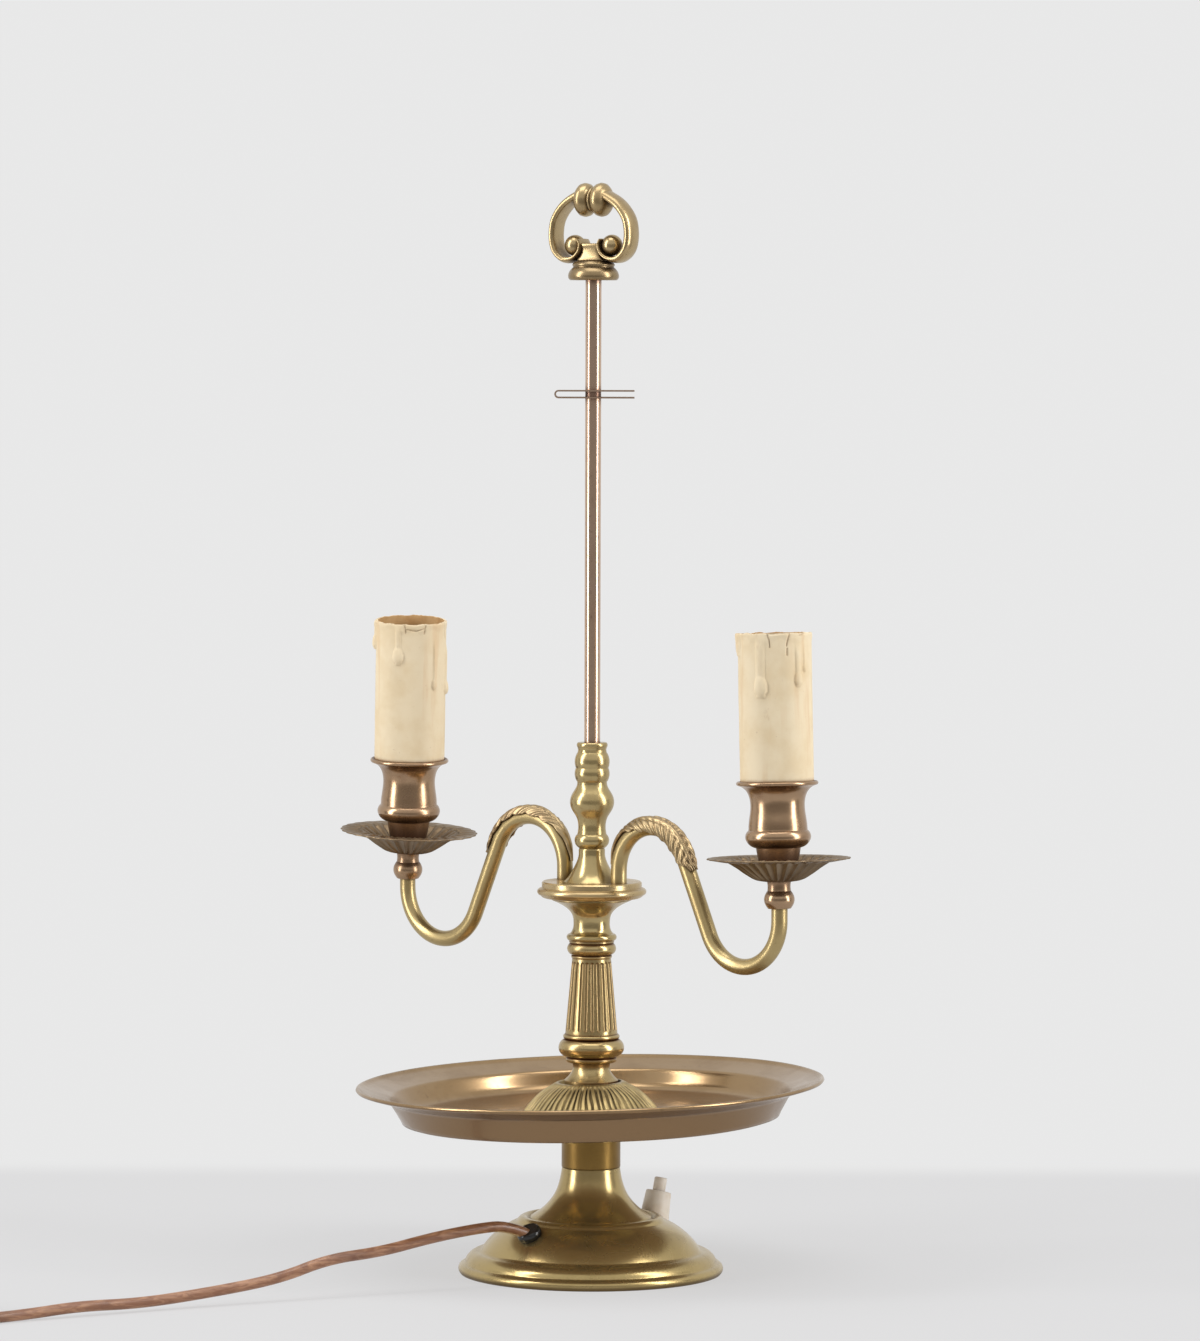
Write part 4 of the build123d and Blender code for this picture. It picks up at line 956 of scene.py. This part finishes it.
def make_cord():
    """Supply cord as one curve: over the floor, round the coil and on to the plug."""
    curve = bpy.data.curves.new("flex", "CURVE")
    curve.dimensions = "3D"
    curve.bevel_depth = cord_diameter / 2
    curve.bevel_resolution = 6
    curve.resolution_u = 8
    curve.use_fill_caps = True
    line = [*cord_route, *coil_line(), *tail_route]
    spline = curve.splines.new("NURBS")
    spline.points.add(len(line) - 1)
    for point, place in zip(spline.points, line):
        point.co = (*(mm * v for v in place), 1.0)
    spline.order_u = 3
    spline.use_endpoint_u = True
    curve.materials.append(cord_material())
    flex = bpy.data.objects.new("flex", curve)
    bpy.context.scene.collection.objects.link(flex)
    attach(flex, "lamp")
    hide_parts("cord", "cord_coil", "cord_tail")


# ------------------------------------------------------------------------------------------ finishes
def paint_frame():
    """Finishes of the CAD nodes that show as they are."""
    satin = aged_metal("satin_brass", (0.46, 0.355, 0.17), (0.37, 0.275, 0.125), (0.10, 0.06, 0.025),
                       rough=(0.20, 0.30))
    plate = aged_metal("plate_brass", (0.53, 0.40, 0.21), (0.42, 0.30, 0.15), (0.14, 0.085, 0.04))
    dark = aged_metal("dark_brass", (0.32, 0.235, 0.125), (0.24, 0.16, 0.085), (0.08, 0.045, 0.025))
    fluted = aged_metal("fluted_brass", (0.47, 0.355, 0.17), (0.38, 0.275, 0.125), (0.13, 0.055, 0.022),
                        rough=(0.22, 0.32), dirt_and_shade_reach=3 * mm, dirt_and_shade_share=1.0, open_share=(0.60, 0.985),
                        haze=0.04)
    turned = aged_metal("turned_brass", (0.25, 0.15, 0.042), (0.21, 0.125, 0.034), (0.10, 0.06, 0.025),
                        rough=(0.28, 0.38), rings=0.05)
    rod = aged_metal("rod_brass", (0.62, 0.445, 0.325), (0.54, 0.375, 0.265), (0.14, 0.07, 0.05),
                     rough=(0.15, 0.20), relief=0.0, haze=0.04)
    arm = aged_metal("arm_brass", (0.45, 0.345, 0.165), (0.36, 0.265, 0.12), (0.12, 0.07, 0.03),
                     rough=(0.30, 0.38), relief=0.004)
    cup = aged_metal("cup_bronze", (0.42, 0.28, 0.17), (0.32, 0.205, 0.125), (0.09, 0.045, 0.03),
                     rough=(0.20, 0.30), dirt_and_shade_reach=12 * mm, open_share=(0.50, 0.96), haze=0.02)
    holder = aged_metal("holder_brass", (0.66, 0.52, 0.26), (0.50, 0.38, 0.18), (0.14, 0.09, 0.04))
    steel = aged_metal("inner_steel", (0.56, 0.56, 0.55), (0.42, 0.41, 0.40), (0.16, 0.14, 0.12))
    insulator = plastic("insulator", (0.05, 0.035, 0.03), (0.03, 0.02, 0.02), rough=0.3)
    switch = plastic("switch_plastic", (0.93, 0.85, 0.74), (0.86, 0.75, 0.62), rough=0.5)
    rubber = plastic("grommet_rubber", (0.012, 0.012, 0.012), (0.02, 0.02, 0.02), rough=0.16)
    plug = plastic("plug_plastic", (0.20, 0.11, 0.08), (0.15, 0.08, 0.055), rough=0.4)
    wire = plastic("wire_pvc", (0.18, 0.10, 0.07), (0.12, 0.07, 0.05))
    paint(satin, "hub_cup", "baluster", "tray_support")
    paint(plate, "hub_plate")
    paint(dark, "finial_base")
    paint(fluted, "column")
    paint(turned, "collar")
    paint(rod, "shade_rod", "shade_clip")
    paint(holder, "plug_pins")
    paint(steel, "tie_rod", "tie_rod_washer", "tie_rod_nut")
    paint(switch, "switch_barrel", "switch_button", "switch_case")
    paint(rubber, "cord_grommet")
    paint(plug, "plug_body")
    paint(wire, "stem_flex", "foot_flex")
    for word in ("right", "left"):
        paint(arm, f"arm_{word}")
        paint(cup, f"knob_{word}", f"cup_{word}")
        paint(holder, f"lampholder_base_{word}", f"lampholder_shell_{word}", f"contacts_{word}")
        paint(steel, f"nipple_{word}", f"lampholder_stem_{word}")
        paint(insulator, f"lampholder_insulator_{word}")
        paint(wire, f"arm_flex_{word}")


def make_pieces():
    """The detailed pieces, which stand for their CAD nodes."""
    foot = aged_metal("foot_brass", (0.49, 0.37, 0.165), (0.40, 0.295, 0.125), (0.10, 0.06, 0.025),
                      rough=(0.20, 0.30), haze=0.15)
    tray = aged_metal("tray_bronze", (0.38, 0.255, 0.135), (0.31, 0.20, 0.10), (0.11, 0.065, 0.035),
                      rough=(0.17, 0.27), relief=0.006, under=(0.27, 0.17, 0.09))
    finial = aged_metal("finial_brass", (0.46, 0.345, 0.18), (0.33, 0.23, 0.115), (0.08, 0.045, 0.025),
                        dirt_and_shade_reach=5 * mm, dirt_and_shade_share=0.75)
    rosette = aged_metal("dull_brass", (0.46, 0.35, 0.16), (0.34, 0.25, 0.11), (0.035, 0.022, 0.012),
                         rough=(0.30, 0.42), dirt_and_shade_reach=3 * mm, dirt_and_shade_share=1.0, open_share=(0.45, 0.96))
    leaf = aged_metal("leaf_brass", (0.41, 0.305, 0.165), (0.30, 0.20, 0.115), (0.07, 0.04, 0.022),
                      rough=(0.32, 0.42), dirt_and_shade_reach=2.5 * mm, open_share=(0.45, 0.97), relief=0.004)
    pan = aged_metal("pan_bronze", (0.25, 0.178, 0.105), (0.175, 0.122, 0.075), (0.05, 0.032, 0.02),
                     rough=(0.36, 0.5), dirt_and_shade_reach=2.5 * mm)
    wax = wax_material()
    card = plastic("candle_inside", (0.52, 0.31, 0.13), (0.44, 0.24, 0.09), rough=0.8)
    make_foot(foot)
    make_tray(tray)
    make_handle(finial)
    make_rosette(rosette)
    for side, word in ((1, "right"), (-1, "left")):
        make_leaf(side, word, leaf)
        make_bobeche(side, word, pan)
        make_sleeve(side, word, wax, card)


bpy.context.scene.view_settings.view_transform = "Standard"
make_camera()
make_cord()
make_stage()
make_room()
make_world()
make_lights()
paint_frame()
make_pieces()
